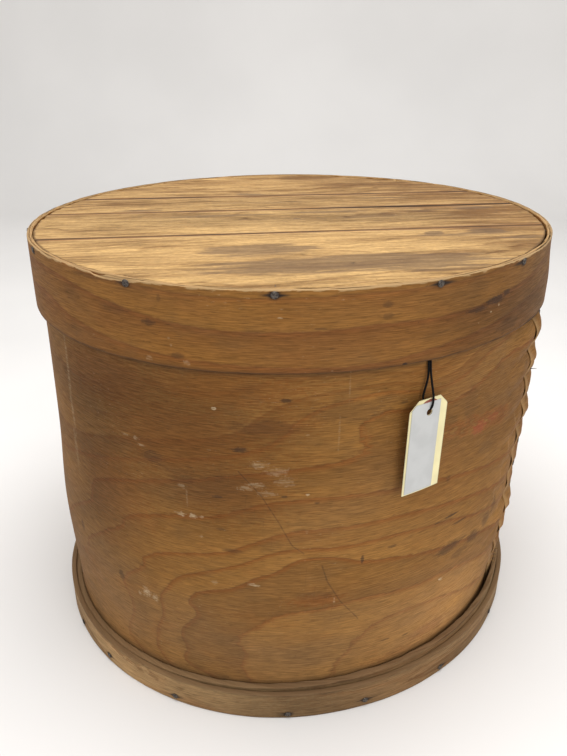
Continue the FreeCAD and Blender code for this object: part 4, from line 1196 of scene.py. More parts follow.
@cache
def ring_group():
    """Growth rings: the ring field roughened, a thin line at each whole number and a dark rim past it."""
    wiring, given = open_group("Growth rings", Ring=0.0, Slope=0.05, Place=None, Wobble=0.12, Line_width=0.8)
    coarse = wiring.grain(given["Place"], 110.0, 240.0, 3.0, 0.62)
    ring = wiring.plus(given["Ring"], wiring.times(wiring.minus(coarse, 0.5), given["Wobble"]))
    slope = wiring.math("MAXIMUM", given["Slope"], 0.012)
    gap = wiring.math("ABSOLUTE", wiring.minus(ring, wiring.math("ROUND", ring)))
    line = wiring.minus(1.0, wiring.over(wiring.over(gap, slope), given["Line width"]), clamp=True)
    past = wiring.over(wiring.math("FRACT", ring), slope)
    return close_group(wiring, Ring=ring, Line=line, Rim=wiring.span(past, 4.5, 0.5))


@cache
def spot_group():
    """A small ragged ellipse on a surface, 1 inside and 0 outside."""
    wiring, given = open_group("Spot", Place=None, Middle=None, Half_size=None, Ragged=0.0, Strength=1.0)
    away = wiring.vector("SUBTRACT", given["Place"], given["Middle"])[0]
    scaled = wiring.vector("DIVIDE", away, given["Half size"])[0]
    uneven = wiring.plus(wiring.vector("LENGTH", scaled)["Value"], given["Ragged"])
    return close_group(wiring, Mask=wiring.times(wiring.span(uneven, 1.25, 0.55), given["Strength"]))


@cache
def wear_group():
    """Wear along an edge: 1 at the edge, broken up by noise, 0 past its width."""
    wiring, given = open_group("Edge wear", Distance=10.0, Width=1.0, Place=None)
    uneven = wiring.grain(given["Place"], 90.0, 420.0, 3.0)
    width = wiring.times(given["Width"], wiring.span(uneven, 0.3, 0.7, 0.25, 1.9))
    share = wiring.minus(1.0, wiring.over(given["Distance"], width), clamp=True)
    return close_group(wiring, Worn=wiring.span(share, 0.0, 0.5))


@cache
def dust_group():
    """Fine pale rubbing and dark specks, over any surface."""
    wiring, given = open_group("Dust and specks", Place=None, Rubbing=0.2, Specks=0.2)
    broad = wiring.noise(given["Place"], 18.0, 3.0)
    rub = wiring.grain(given["Place"], 240.0, 700.0)
    fleck = wiring.grain(given["Place"], 320.0, 420.0, 2.0, 0.5)
    pale = wiring.times(wiring.span(rub, 0.62, 0.76), wiring.span(broad, 0.5, 0.66))
    dark = wiring.times(wiring.span(fleck, 0.68, 0.78), wiring.span(broad, 0.55, 0.42))
    return close_group(
        wiring, Pale=wiring.times(pale, given["Rubbing"]), Dark=wiring.times(dark, given["Specks"]),
    )


# ------------------------------------------------------------------ materials

def spots(wood, marks, ragged):
    """The strongest of several spots given by direction, height, half length, half height and strength."""
    total = None
    for direction, height, half_length, half_height, strength in marks:
        mask = wood.group(
            spot_group(), Place=wood.place, Middle=(math.radians(direction) * MEAN_RADIUS, height * MM, 0.0),
            Half_size=(half_length * MM, half_height * MM, 1.0), Ragged=ragged, Strength=strength,
        )["Mask"]
        total = mask if total is None else wood.math("MAXIMUM", total, mask)
    return total


def dusted(wood, colour, colours, rubbing, specks):
    """A colour with pale rubbing and dark specks over it."""
    dust = wood.group(dust_group(), Place=wood.place, Rubbing=rubbing, Specks=specks)
    return wood.coat(wood.coat(colour, colours.scuff_and_highlight, dust["Pale"]), colours.dirt_and_shade, dust["Dark"])


def bent_wood(
    name, colours, light, dark, lip, reach, tones, fibre_length, seed, contrast, line_width, wobble, line,
    rim, wear, extras, glows=(), reds=(), dots=(), scuffs_and_highlights=(),
):
    """Veneer with growth rings, fibres, weathering, spots and worn edges."""
    wood = Finish(name)
    place = wood.place
    fibres = wood.group(
        fibre_group(), Place=place, Fibre_length=fibre_length, Fibre_width=FIBRE_WIDTH, Seed=seed,
    )
    rings = wood.group(
        ring_group(), Ring=wood.field("ring"), Slope=wood.field("slope"), Place=place, Wobble=wobble,
        Line_width=line_width,
    )
    tone = wood.tones(rings["Ring"], reach, tones)
    tone = wood.plus(tone, wood.span(fibres["Patch"], 0.25, 0.75, -0.09, 0.09), clamp=True)
    colour = wood.blend(tone, light, dark)
    # the rings of the wall's upper left are faint
    plain = wood.span(rings["Ring"], -4.7, -3.5, 0.3, 1.0)
    colour = wood.coat(colour, colours.resin, rings["Rim"], wood.times(plain, rim))
    colour = wood.coat(colour, colours.line, rings["Line"], wood.times(plain, line))
    rough = wood.plus(fibres["Fibre"], wood.noise(place, 420.0))
    ragged = wood.times(wood.minus(rough, 1.0), 2.6)
    if glows:
        colour = wood.coat(colour, colours.resin, spots(wood, glows, ragged), 0.8)
    # grey weathering of the wall; on the rim's right end the grey is painted shade
    if "weather" in extras:
        greyed = wood.times(wood.field("weather"), wood.span(fibres["Patch"], 0.3, 0.7, 0.55, 1.0))
        colour = wood.coat(colour, colours.veneer_grey, greyed, 0.58)
    else:
        colour = wood.coat(colour, colours.veneer_grey, wood.span(fibres["Patch"], 0.45, 0.75, 0.0, 0.22))
    clouds = wood.grain(place, 26.0, 52.0, 3.0)
    colour = wood.coat(colour, colours.resin, wood.span(clouds, 0.5, 0.72, 0.0, 0.16))
    colour = wood.coat(colour, colours.smudge, wood.span(clouds, 0.48, 0.3, 0.0, 0.22))
    shadow = wood.span(fibres["Fibre"], 0.32, 0.68, 1.0 - contrast, 1.0 + contrast * 0.6)
    streaks = wood.span(fibres["Streak"], 0.3, 0.7, 1.0 - contrast * 0.3, 1.0 + contrast * 0.25)
    shadow = wood.minus(wood.times(shadow, streaks), wood.times(fibres["Pore"], contrast * 1.6))
    hairs = wood.grain(place, 85.0, 1250.0)
    shadow = wood.times(shadow, wood.span(hairs, 0.32, 0.68, 0.86, 1.15))
    # the broad painted light and shade from the shade attribute, with some of the wood's own tone
    colour = wood.shaded(colour, wood.times(shadow, wood.plus(wood.field("shade"), 1.0)))
    if reds:
        colour = wood.coat(colour, colours.red, spots(wood, reds, ragged), 0.5)
    if dots:
        colour = wood.coat(colour, colours.dirt_and_shade, spots(wood, dots, wood.times(ragged, 0.4)), 0.8)
    if "stain" in extras:
        soot = wood.times(wood.field("stain"), wood.span(fibres["Streak"], 0.25, 0.7, 0.75, 1.25))
        colour = wood.coat(colour, colours.dirt_and_shade, wood.span(soot, 0.12, 0.75))
    # dirt and painted shade: the shadow line under the rim, the rim's dark foot, and darker bands above and
    # on the hoop
    shaded_and_soiled = wood.times(wood.field("grime"), wood.span(fibres["Streak"], 0.2, 0.7, 0.6, 1.1))
    colour = wood.coat(colour, colours.dirt_and_shade, shaded_and_soiled, 0.8)
    if "scratch" in extras:
        across = wood.math("ABSOLUTE", wood.field("scratch"))
        scratch = wood.times(wood.span(across, 0.9, 0.2), wood.field("scratch_mask"))
        scratch = wood.times(scratch, wood.span(fibres["Streak"], 0.36, 0.56, 0.45, 1.0))
        colour = wood.coat(colour, colours.dirt_and_shade, scratch, 0.42)
    # pale scuffs, and a painted highlight along a crease of the wall
    if scuffs_and_highlights:
        strokes = wood.grain(place, 150.0, 1100.0, 2.0, 0.55)
        scuffed_and_lit = wood.times(spots(wood, scuffs_and_highlights, ragged), wood.span(strokes, 0.42, 0.6, 0.25, 1.0))
        colour = wood.coat(colour, colours.scuff_and_highlight, scuffed_and_lit, 0.75)
    colour = dusted(wood, colour, colours, 0.25, 0.4)
    worn = wood.group(wear_group(), Distance=wood.field("edge"), Width=wear, Place=place)["Worn"]
    colour = wood.coat(colour, lip, worn, 0.55)
    if "curled" in extras:
        colour = wood.coat(colour, colours.bare, wood.span(wood.field("curled"), 0.5, 0.98), 0.3)
    height = wood.plus(fibres["Fibre"], wood.times(fibres["Streak"], 0.4))
    wood.emboss(wood.minus(height, wood.times(fibres["Pore"], 0.4)), 0.38, 0.0004)
    gloss = wood.span(fibres["Fibre"], 0.3, 0.7, 0.82, 0.66)
    return wood.fill(Base_Color=colour, Roughness=gloss, Specular_IOR_Level=0.18)


def lid_wear(wood, colour, colours, streak, hairs):
    """A board's stains along its torn grain, its grimy seams with their pale crests, and its smudged ends."""
    mottle = wood.grain(wood.place, 34.0, 150.0, 3.0, 0.65)
    torn = wood.times(wood.minus(streak, 0.5), 1.3)
    torn = wood.plus(torn, wood.times(wood.minus(hairs, 0.5), 1.1))
    torn = wood.plus(torn, wood.times(wood.minus(mottle, 0.5), 0.9))
    depth = wood.field("stain")
    stain = wood.plus(depth, wood.times(torn, wood.span(depth, 0.05, 0.4)))
    colour = wood.coat(colour, colours.board_stain, wood.span(stain, 0.26, 0.52, 0.0, 0.66))
    colour = wood.coat(colour, colours.dirt_and_shade, wood.span(stain, 0.95, 1.5, 0.0, 0.6))
    seam = wood.plus(wood.field("lip"), wood.span(streak, 0.3, 0.7, -0.7, 0.7))
    colour = wood.coat(colour, colours.resin, wood.span(seam, 5.0, 1.8), 0.6)
    colour = wood.coat(colour, colours.smudge, wood.span(seam, 3.2, 1.5), 0.85)
    colour = wood.coat(colour, colours.dirt_and_shade, wood.span(seam, 1.5, 0.7), 0.75)
    crest = wood.times(wood.span(seam, 3.0, 4.2), wood.span(seam, 7.5, 4.6))
    colour = wood.coat(colour, colours.bare, crest, wood.span(mottle, 0.4, 0.6, 0.05, 0.4))
    end = wood.plus(wood.field("edge"), wood.span(streak, 0.3, 0.7, -0.6, 0.6))
    return wood.coat(colour, colours.smudge, wood.span(end, 2.4, 0.7), 0.75)


def board_wood(name, colours, seed, on_object=False):
    """Weathered boards: flat-sawn figure, raised fibres, stains and light, worn edges."""
    wood = Finish(name, on_object)
    place = wood.place
    fibres = wood.group(fibre_group(), Place=place, Fibre_length=0.022, Fibre_width=0.0019, Seed=seed)
    across = wood.times(wood.node("ShaderNodeSeparateXYZ", {0: place}).outputs[1], 95.0)
    ring = wood.plus(across, wood.times(wood.grain(place, 4.0, 16.0, 3.0, 0.55), 9.0))
    ring = wood.plus(ring, wood.times(wood.minus(fibres["Fibre"], 0.5), 0.4))
    phase = wood.math("FRACT", wood.plus(ring, seed))
    tone = wood.tones(phase, (0.0, 1.0), BOARD_TONES)
    tone = wood.plus(tone, wood.span(wood.grain(place, 9.0, 44.0, 3.0), 0.36, 0.7, 0.0, 0.62))
    tone = wood.plus(tone, wood.span(fibres["Streak"], 0.5, 0.76, 0.0, 0.4), clamp=True)
    if not on_object:
        tone = wood.plus(tone, wood.times(wood.field("dull"), 0.38), clamp=True)
        tone = wood.times(tone, wood.minus(1.0, wood.times(wood.field("glow"), 0.9)))
    colour = wood.blend(tone, colours.board_light, colours.board_dark)
    shadow = wood.span(fibres["Fibre"], 0.3, 0.7, 0.8, 1.12)
    speckle = wood.grain(place, 260.0, 330.0)
    shadow = wood.times(shadow, wood.span(speckle, 0.3, 0.7, 0.88, 1.1))
    shadow = wood.minus(shadow, wood.times(fibres["Pore"], 0.2))
    hairs = wood.grain(place, 62.0, 1000.0, 3.0)
    shadow = wood.times(shadow, wood.span(hairs, 0.3, 0.7, 0.78, 1.16))
    if on_object:
        colour = wood.shaded(colour, shadow)
    else:
        # the broad painted light and shade on the lid, with some of the boards' own tone
        colour = wood.shaded(colour, wood.times(shadow, wood.plus(wood.field("shade"), 1.0)))
        colour = lid_wear(wood, colour, colours, fibres["Streak"], hairs)
    wood.emboss(wood.plus(fibres["Fibre"], fibres["Streak"]), 0.6, 0.0006)
    gloss = wood.span(fibres["Fibre"], 0.3, 0.7, 0.8, 0.62)
    return wood.fill(
        Base_Color=dusted(wood, colour, colours, 0.35, 0.8), Roughness=gloss, Specular_IOR_Level=0.2,
    )


def rusted_iron(colours):
    """Old iron: dark, hammered, with brown rust in the hollows."""
    iron = Finish("rusted_iron", on_object=True)
    patch = iron.noise(iron.place, 900.0, 3.0)
    iron.emboss(iron.noise(iron.place, 3200.0), 0.5, 0.0001)
    return iron.fill(
        Base_Color=iron.blend(iron.span(patch, 0.4, 0.62), colours.iron, colours.rust),
        Roughness=iron.span(patch, 0.35, 0.6, 0.42, 0.8), Metallic=iron.span(patch, 0.6, 0.4, 0.1, 0.75),
    )


def paper(name, base, share, seed):
    """Card or paper: faint fibres, slight darkening to a share of its colour, and soft creases."""
    sheet = Finish(name)
    shadow = tuple(value * share for value in base)
    fibre = sheet.noise(sheet.place, 1400.0 + seed, 3.0)
    mottle = sheet.noise(sheet.place, 60.0 + seed, 2.0, 0.5)
    colour = sheet.blend(sheet.span(mottle, 0.35, 0.7, 0.0, 0.3), base, shadow)
    colour = sheet.coat(colour, shadow, sheet.span(fibre, 0.55, 0.75, 0.0, 0.2))
    colour = sheet.coat(colour, shadow, sheet.span(sheet.field("edge"), 0.9, 0.1), 0.35)
    crease = sheet.grain(sheet.place, 60.0, 22.0, 2.0, 0.5)
    sheet.emboss(sheet.plus(sheet.times(fibre, 0.3), crease), 0.3, 0.0004)
    return sheet.fill(Base_Color=colour, Roughness=sheet.span(fibre, 0.3, 0.7, 0.6, 0.75))


def thread(colours):
    """Black elastic thread with its twist."""
    yarn = Finish("black_thread", on_object=True)
    twist = yarn.node(
        "ShaderNodeTexWave", {"Vector": yarn.place, "Scale": 700.0, "Distortion": 2.0},
        bands_direction="DIAGONAL",
    ).outputs["Fac"]
    fuzz = yarn.noise(yarn.place, 2600.0)
    pale = tuple(min(1.0, value * 3.5) for value in colours.thread)
    yarn.emboss(twist, 0.6, 0.0001)
    return yarn.fill(
        Base_Color=yarn.blend(yarn.span(twist, 0.5, 1.0, 0.0, 0.6), colours.thread, pale),
        Roughness=yarn.span(fuzz, 0.3, 0.7, 0.85, 0.7), Specular_IOR_Level=0.12,
    )


# ------------------------------------------------------------------ putting pieces in place

def settle(piece, body, slot, material, *nodes):
    """Gives a piece its material and its body and hides the CAD nodes that it stands for; slot is not used.
    """
    piece.data.materials.clear()
    piece.data.materials.append(material)
    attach(piece, body)
    if nodes:
        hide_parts(*nodes)
    return piece


def repaint(node, material):
    """Gives a CAD node a better material."""
    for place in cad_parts[node].material_slots:
        place.material = material


def nail_stains(node, half_length, half_height):
    """The soot-dark halo that iron leaves in damp wood, drawn out along the grain."""
    places = fastener_places(node, CAD_HEAD)
    rng = np.random.default_rng(23)
    drift = [(rng.uniform(-0.5, 0.5), rng.uniform(0.7, 1.5)) for _ in places]

    def stain(directions, heights):
        total = np.zeros(directions.shape)
        for (point, direction), (lean, size) in zip(places, drift):
            away = np.radians(turned(directions, direction)) * MEAN_RADIUS
            skew = away - lean * half_length
            rise = heights - point.z
            near = np.exp(-(away / (half_length * 0.55)) ** 2 - (rise / half_height) ** 2)
            far = 0.75 * np.exp(-(skew / (half_length * size)) ** 2 - (rise / (half_height * 0.62)) ** 2)
            total = np.maximum(total, np.maximum(near, far))
        return total

    return stain


class BOX_OT_wall(bpy.types.Operator):
    """Makes the wall's veneer sheet"""

    bl_idname = "bentwood.wall"
    bl_label = "Wall"

    def execute(self, context):
        form = context.scene.box_form
        colours = context.scene.box_colours
        material = bent_wood(
            "wall_veneer", colours, colours.veneer_light, colours.veneer_dark, colours.veneer_light,
            WALL_RING_REACH, WALL_TONES, fibre_length=14 * MM, seed=3.1, contrast=0.2, line_width=1.2,
            wobble=0.17, line=0.3, rim=0.6, wear=1.2, extras=("weather", "scratch", "curled"),
            glows=WALL_GLOWS, reds=RED_MARKS, dots=WALL_SPOTS, scuffs_and_highlights=WALL_SCUFFS_AND_HIGHLIGHTS,
        )
        settle(make_wall(form), "base", "wall_veneer", material, "side_wall")
        sliver = board_wood("sliver_wood", colours, 5.1, on_object=True)
        settle(make_slivers("wall_slivers", SLIVERS), "base", "wall_veneer", sliver)
        return {"FINISHED"}


class BOX_OT_rim(bpy.types.Operator):
    """Makes the two plies of the lid's rim"""

    bl_idname = "bentwood.rim"
    bl_label = "Lid rim"

    def execute(self, context):
        form = context.scene.box_form
        colours = context.scene.box_colours
        material = bent_wood(
            "rim_veneer", colours, colours.rim_light, colours.rim_dark, colours.bare, RIM_RING_REACH,
            RIM_TONES, fibre_length=14 * MM, seed=9.7, contrast=0.18, line_width=1.3, wobble=0.16, line=0.3,
            rim=0.4, wear=1.1, extras=("stain", "weather"), dots=RIM_SPOTS, scuffs_and_highlights=RIM_SCUFFS,
        )

        def field(directions, heights):
            return ring_field(RIM_RINGS, past_break(directions), heights)

        def chipped(directions):
            local = directions % FULL_TURN
            ragged = roughness_line(np.radians(local) * MEAN_RADIUS, 5, (7 * MM, 2.5 * MM))
            return between(local, 186.5, 188.5, 196.0, 198.5) * (0.5 + 0.5 * ragged)

        def outer_top(directions):
            return RIM_TOP - broken(directions, 61, form.ragged_edge) - CHIP_DEPTH * chipped(directions)

        def inner_top(directions):
            return RIM_TOP - broken(directions, 67, form.ragged_edge)

        def bottom(directions):
            return RIM_BOTTOM + broken(directions, 71, form.ragged_edge * 0.8, sharpness=3.0)

        def sprung(directions, heights):
            near = np.exp(-(turned(directions, 295) / 15) ** 2)
            return RIM_SPRING * near * (0.35 + 0.65 * smooth(-heights, -322 * MM, -290 * MM))

        # how grey the rim is: at its right end the grey is painted shade, elsewhere it is weathering
        def greyed(directions):
            local = directions % FULL_TURN
            return 0.35 + 0.75 * smooth(local, 262, 286) + 0.3 * smooth(-local, -195, -160)

        stain = nail_stains("rim_nails", 7.5 * MM, 2.7 * MM)
        # the outer ply's dark foot is a painted shadow line along the rim's lower edge
        outer = make_strip(
            "rim_outer_ply", form, RIM_OUTER_PLY + 0.1 * MM, RIM_OUTSIDE, OUTER_PLY_JOINT, bottom, outer_top,
            field, 81, stain, shades=RIM_SHADES, top_darkening=(0.25, 1.2), foot_darkening=(0.95, 1.9), greying=greyed, bulge=sprung,
        )
        inner = make_strip(
            "rim_inner_ply", form, RIM_INSIDE, RIM_BETWEEN, INNER_PLY_JOINT, bottom, inner_top, field, 83,
            bulge=sprung,
        )
        settle(outer, "lid", "rim_wood", material, "lid_rim_outer_ply")
        settle(inner, "lid", "rim_wood", material, "lid_rim_inner_ply")
        return {"FINISHED"}


class BOX_OT_hoop(bpy.types.Operator):
    """Makes the two bands of the foot hoop"""

    bl_idname = "bentwood.hoop"
    bl_label = "Foot hoop"

    def execute(self, context):
        form = context.scene.box_form
        colours = context.scene.box_colours
        material = bent_wood(
            "hoop_wood", colours, colours.hoop_light, colours.hoop_dark, colours.veneer_grey, HOOP_RING_REACH,
            HOOP_TONES, fibre_length=16 * MM, seed=17.3, contrast=0.2, line_width=0.8, wobble=0.5, line=0.3,
            rim=0.2, wear=0.5, extras=("stain",), glows=HOOP_GLOWS,
        )

        def field(directions, heights):
            along = np.radians(past_break(directions)) * MEAN_RADIUS
            return 1.0 + 0.9 * waves(along, heights, 91, 300 * MM, 34 * MM)

        def foot(directions):
            return broken(directions, 93, form.ragged_edge * 0.5, sharpness=3.0)

        def outer_top(directions):
            return HOOP_TOP - broken(directions, 95, form.ragged_edge)

        def inner_top(directions):
            ragged = broken(directions, 97, 2.6 * MM, (10 * MM, 3 * MM), 1.4)
            return hoop_level(directions) - ragged * (0.25 + 0.75 * hoop_lean(directions) ** 2)

        def hugging(directions):
            away = np.abs(turned(directions, SEAM + 12))
            return INNER_BAND_INSIDE - BAND_HUG * smooth(away, 32, 60)

        stain = nail_stains("hoop_nails", 6.0 * MM, 2.0 * MM)
        outer = make_strip(
            "hoop_outer", form, OUTER_BAND_INSIDE, OUTER_BAND_OUTSIDE, OUTER_BAND_JOINT, foot, outer_top,
            field, 101, stain, 0.8, shades=HOOP_SHADES, top_darkening=(0.6, 2.0), foot_darkening=(0.4, 1.6),
        )
        inner = make_strip(
            "hoop_inner", form, hugging, INNER_BAND_OUTSIDE, INNER_BAND_JOINT, foot, inner_top, field, 103,
            None, 0.8, shades=HOOP_SHADES, top_darkening=(0.42, 9.0),
        )
        settle(outer, "base", "hoop_wood", material, "hoop_outer_band")
        settle(inner, "base", "hoop_wood", material, "hoop_inner_band")
        return {"FINISHED"}


class BOX_OT_boards(bpy.types.Operator):
    """Makes the lid's four boards and finishes the bottom's"""

    bl_idname = "bentwood.boards"
    bl_label = "Boards"

    def execute(self, context):
        form = context.scene.box_form
        colours = context.scene.box_colours
        _, lowest, highest = lid_outline()
        lows = [lowest] + [seam + SEAM_GAP / 2 for seam in LID_SEAMS]
        highs = [seam - SEAM_GAP / 2 for seam in LID_SEAMS] + [highest]
        for number, (low, high) in enumerate(zip(lows, highs), start=1):
            material = board_wood(f"lid_board_{number}_wood", colours, 2.37 * number)
            piece = make_board(number, low, high, form)
            settle(piece, "lid", "lid_board_wood", material, f"lid_board_{number}")
        material = board_wood("bottom_board_wood", colours, 21.3, on_object=True)
        for number in range(1, 5):
            repaint(f"bottom_board_{number}", material)
        return {"FINISHED"}


class BOX_OT_fasteners(bpy.types.Operator):
    """Drives the nails, tacks and staples"""

    bl_idname = "bentwood.fasteners"
    bl_label = "Nails, tacks and staples"

    def execute(self, context):
        colours = context.scene.box_colours
        material = rusted_iron(colours)
        tree = fastener_tree()
        sets = (
            ("rim_nail_heads", "rim_nails", "lid", NAIL), ("hoop_nail_heads", "hoop_nails", "base", NAIL),
            ("rim_tacks", "rim_joint_tacks", "lid", TACK), ("hoop_tacks", "hoop_joint_tacks", "base", TACK),
        )
        for seed, (name, node, body, size) in enumerate(sets, start=1):
            form = nail_form(f"{name}_form", *size)
            places = fastener_places(node, CAD_HEAD)
            piece = drive(name, places, form, tree, material, math.pi, 0.12, 0.12, seed)
            settle(piece, body, "rusted_nail", material, node)
        form = staple_form("staple_form", *STAPLE)
        places = []
        for point, direction in fastener_places("wall_seam_staples", CAD_STAPLE):
            press = TOP_STAPLE_PRESS if point.z > TOP_STAPLE - 4 * MM else STAPLE_PRESS
            lift = float(seam_relief(np.array(direction), np.array(point.z))) - press
            places.append((point + outward(direction) * lift, direction))
        piece = drive("seam_staples", places, form, tree, material, 0.16, 0.08, 0.08, 9)
        settle(piece, "base", "rusted_wire", material, "wall_seam_staples")
        settle(make_slivers("bent_staple_leg", BENT_LEG), "base", "rusted_wire", material)
        repaint("tag_staple", material)
        return {"FINISHED"}


# ------------------------------------------------------------------ tag and string

TAG_DIRECTION = 249.7
TAG_STANDOFF = 5.0 * MM
TAG_WIDTH = 31.0 * MM
TAG_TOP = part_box("tag_card")[1].z
TAG_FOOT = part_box("tag_card")[0].z
TAG_CORNER = 6.8 * MM
TAG_HOLE = 2.4 * MM
TAG_HOLE_LEVEL = TAG_TOP - 9.5 * MM
CARD_THICKNESS = 0.5 * MM
PATCH_THICKNESS = 0.15 * MM
LABEL_THICKNESS = 0.2 * MM
PATCH_RADIUS = 9.1 * MM
TAG_BOW = 0.5 * MM
LABEL_INSET = 1.3 * MM
LABEL_WIDTH = 23.2 * MM
# the card hangs a little turned, to one side and leaning out at its head
TAG_TURN = 4.9
TAG_SHIFT = -1.1 * MM
TAG_LEAN = 0.9 * MM
# the string's route: along the wall, out of it and up, in millimetres
STRING_POINTS = (
    (0.75, 0.9, 272.7), (0.55, 1.9, 266.6), (0.65, 4.4, 258.6), (0.5, 7.4, 251.4), (-0.2, 8.3, 246.0),
    (-0.5, 7.5, 243.4), (-0.4, 6.2, 241.9), (-0.7, 4.0, 241.9), (-2.0, 2.3, 244.6), (-3.6, 2.0, 249.2),
    (-2.5, 2.0, 254.4), (-0.6, 1.8, 261.6), (-0.6, 1.4, 267.6), (-0.75, 0.9, 272.7),
)
STRING_DIAMETER = 1.4 * MM


def tag_point(x, out, z):
    """A place given along the wall, out of it and up."""
    facing = outward(TAG_DIRECTION)
    along = outward(TAG_DIRECTION + 90)
    foot = oval(np.array(TAG_DIRECTION), 0.0, 0.0)
    return Vector(foot) + along * x + facing * out + Vector((0, 0, z))


def card_point(x, out, z):
    """The same on the card, which hangs turned, shifted and leaning."""
    turn = math.radians(TAG_TURN)
    share = (z - TAG_FOOT) / (TAG_TOP - TAG_FOOT)
    reach = out - TAG_STANDOFF
    across = TAG_SHIFT + x * math.cos(turn) + reach * math.sin(turn)
    away = TAG_STANDOFF + TAG_LEAN * share + reach * math.cos(turn) - x * math.sin(turn)
    return tag_point(across, away, z)


def make_leaf(name, outline, foot, top, depth, thickness, columns=30, rows=64):
    """A thin sheet of the tag with a round hole; outline gives its left and right edge at a level."""
    build = bmesh.new()
    grid = []
    for level in np.linspace(foot, top, rows):
        left, right = outline(level)
        places = [left + (right - left) * step / (columns - 1) for step in range(columns)]
        grid.append([build.verts.new((place, 0.0, level)) for place in places])
    for first, second in zip(grid, grid[1:]):
        for step in range(columns - 1):
            build.faces.new((first[step], first[step + 1], second[step + 1], second[step]))
    hole = Vector((0, 0, TAG_HOLE_LEVEL))
    inside = [face for face in build.faces if (face.calc_center_median() - hole).length < TAG_HOLE]
    bmesh.ops.delete(build, geom=inside, context="FACES")
    for vertex in build.verts:
        away = vertex.co - hole
        if away.length < TAG_HOLE * 1.28 and any(len(edge.link_faces) == 1 for edge in vertex.link_edges):
            vertex.co = hole + away.normalized() * TAG_HOLE
    uv = build.loops.layers.uv.new("UVMap")
    edge = build.verts.layers.float.new("edge")
    for face in build.faces:
        for loop in face.loops:
            loop[uv].uv = (loop.vert.co.x, loop.vert.co.z)
    for vertex in build.verts:
        left, right = outline(vertex.co.z)
        near = min(vertex.co.x - left, right - vertex.co.x, vertex.co.z - foot, top - vertex.co.z)
        vertex[edge] = near / MM
    bmesh.ops.solidify(build, geom=build.faces[:], thickness=thickness)
    bmesh.ops.recalc_face_normals(build, faces=build.faces)
    back = min(vertex.co.y for vertex in build.verts)
    for vertex in build.verts:
        bow = TAG_BOW * (1 - (vertex.co.x / (TAG_WIDTH / 2)) ** 2) - 0.5 * TAG_BOW
        out = depth + (vertex.co.y - back) + bow
        vertex.co = card_point(vertex.co.x, out, vertex.co.z)
    bmesh.ops.recalc_face_normals(build, faces=build.faces)
    return flip_if_inside_out(built_piece(name, build))


class BOX_OT_tag(bpy.types.Operator):
    """Makes the tag's card, patch, label and string"""

    bl_idname = "bentwood.tag"
    bl_label = "Tag"

    def execute(self, context):
        colours = context.scene.box_colours
        half = TAG_WIDTH / 2

        def card_outline(level):
            clip = max(0.0, level - (TAG_TOP - TAG_CORNER))
            return clip - half, half - clip

        def patch_outline(level):
            rise = min(abs(level - TAG_HOLE_LEVEL), PATCH_RADIUS * 0.9999)
            reach = math.sqrt(PATCH_RADIUS ** 2 - rise ** 2)
            return -reach, reach

        def label_outline(level):
            left, _ = card_outline(level)
            return max(left, LABEL_INSET - half), LABEL_INSET + LABEL_WIDTH - half

        card = make_leaf("manila_tag", card_outline, TAG_FOOT, TAG_TOP, TAG_STANDOFF, CARD_THICKNESS)
        settle(card, "tag", "manila_card", paper("manila_card", colours.card, 0.62, 3.0), "tag_card")
        face = TAG_STANDOFF + CARD_THICKNESS
        patch = make_leaf(
            "fibre_patch", patch_outline, TAG_HOLE_LEVEL - PATCH_RADIUS, TAG_HOLE_LEVEL + PATCH_RADIUS,
            face, PATCH_THICKNESS, 26, 30,
        )
        settle(patch, "tag", "red_patch", paper("red_patch", colours.patch, 0.5, 7.0), "tag_patch")
        label = make_leaf(
            "bare_label", label_outline, TAG_FOOT + 0.9 * MM, TAG_TOP - 2.4 * MM,
            face + PATCH_THICKNESS, LABEL_THICKNESS, 26, 60,
        )
        settle(label, "tag", "label_paper", paper("label_paper", colours.label, 0.7, 11.0), "tag_label")
        curve = bpy.data.curves.new("tag_cord", "CURVE")
        curve.dimensions = "3D"
        curve.bevel_depth = STRING_DIAMETER / 2
        curve.bevel_resolution = 3
        curve.resolution_u = 10
        curve.use_fill_caps = True
        line = curve.splines.new("NURBS")
        line.points.add(len(STRING_POINTS) - 1)
        for point, place in zip(line.points, STRING_POINTS):
            point.co = (*tag_point(*(value * MM for value in place)), 1.0)
        line.order_u = 3
        line.use_endpoint_u = True
        cord = new_piece("tag_cord", curve)
        settle(cord, "tag", "black_string", thread(colours), "tag_string")
        return {"FINISHED"}


# ------------------------------------------------------------------ stage

CAMERA_HEADING = -48.3
CAMERA_YAW = 0.709
CAMERA_PITCH = 24.92
CAMERA_ROLL = 0.388
LENS = 33.33
SENSOR = 36.0


def make_backdrop(colour):
    """A floor that curves up into a backdrop far behind the box."""
    depth = 1.5
    bend = 0.5
    height = 2.4
    profile = [(-4.0, 0.0), (depth, 0.0)]
    for step in range(1, 13):
        angle = math.radians(90 * step / 12)
        profile.append((depth + bend * math.sin(angle), bend * (1 - math.cos(angle))))
    profile.append((depth + bend, height))
    behind = outward(90 + CAMERA_HEADING)
    side = outward(CAMERA_HEADING)
    points = []
    for reach, level in profile:
        for width in (-4.0, 4.0):
            points.append(tuple(behind * reach + side * width + Vector((0, 0, level))))
    faces = [(2 * step, 2 * step + 1, 2 * step + 3, 2 * step + 2) for step in range(len(profile) - 1)]
    piece = new_piece("backdrop", listed_mesh("backdrop", points, faces))
    plain = Finish("studio_floor", on_object=True)
    cloud = plain.span(plain.noise(plain.place, 2.0, 3.0, 0.5), 0.3, 0.7)
    darker = tuple(value * 0.94 for value in colour)
    piece.data.materials.append(plain.fill(Base_Color=plain.blend(cloud, colour, darker), Roughness=0.85))
    return piece


def add_lamp(name, power, width, place, target):
    lamp = bpy.data.lights.new(name, "AREA")
    lamp.energy = power
    lamp.shape = "RECTANGLE"
    lamp.size, lamp.size_y = width
    item = new_piece(name, lamp)
    item.location = place
    item.rotation_euler = (Vector(target) - Vector(place)).to_track_quat("-Z", "Y").to_euler()


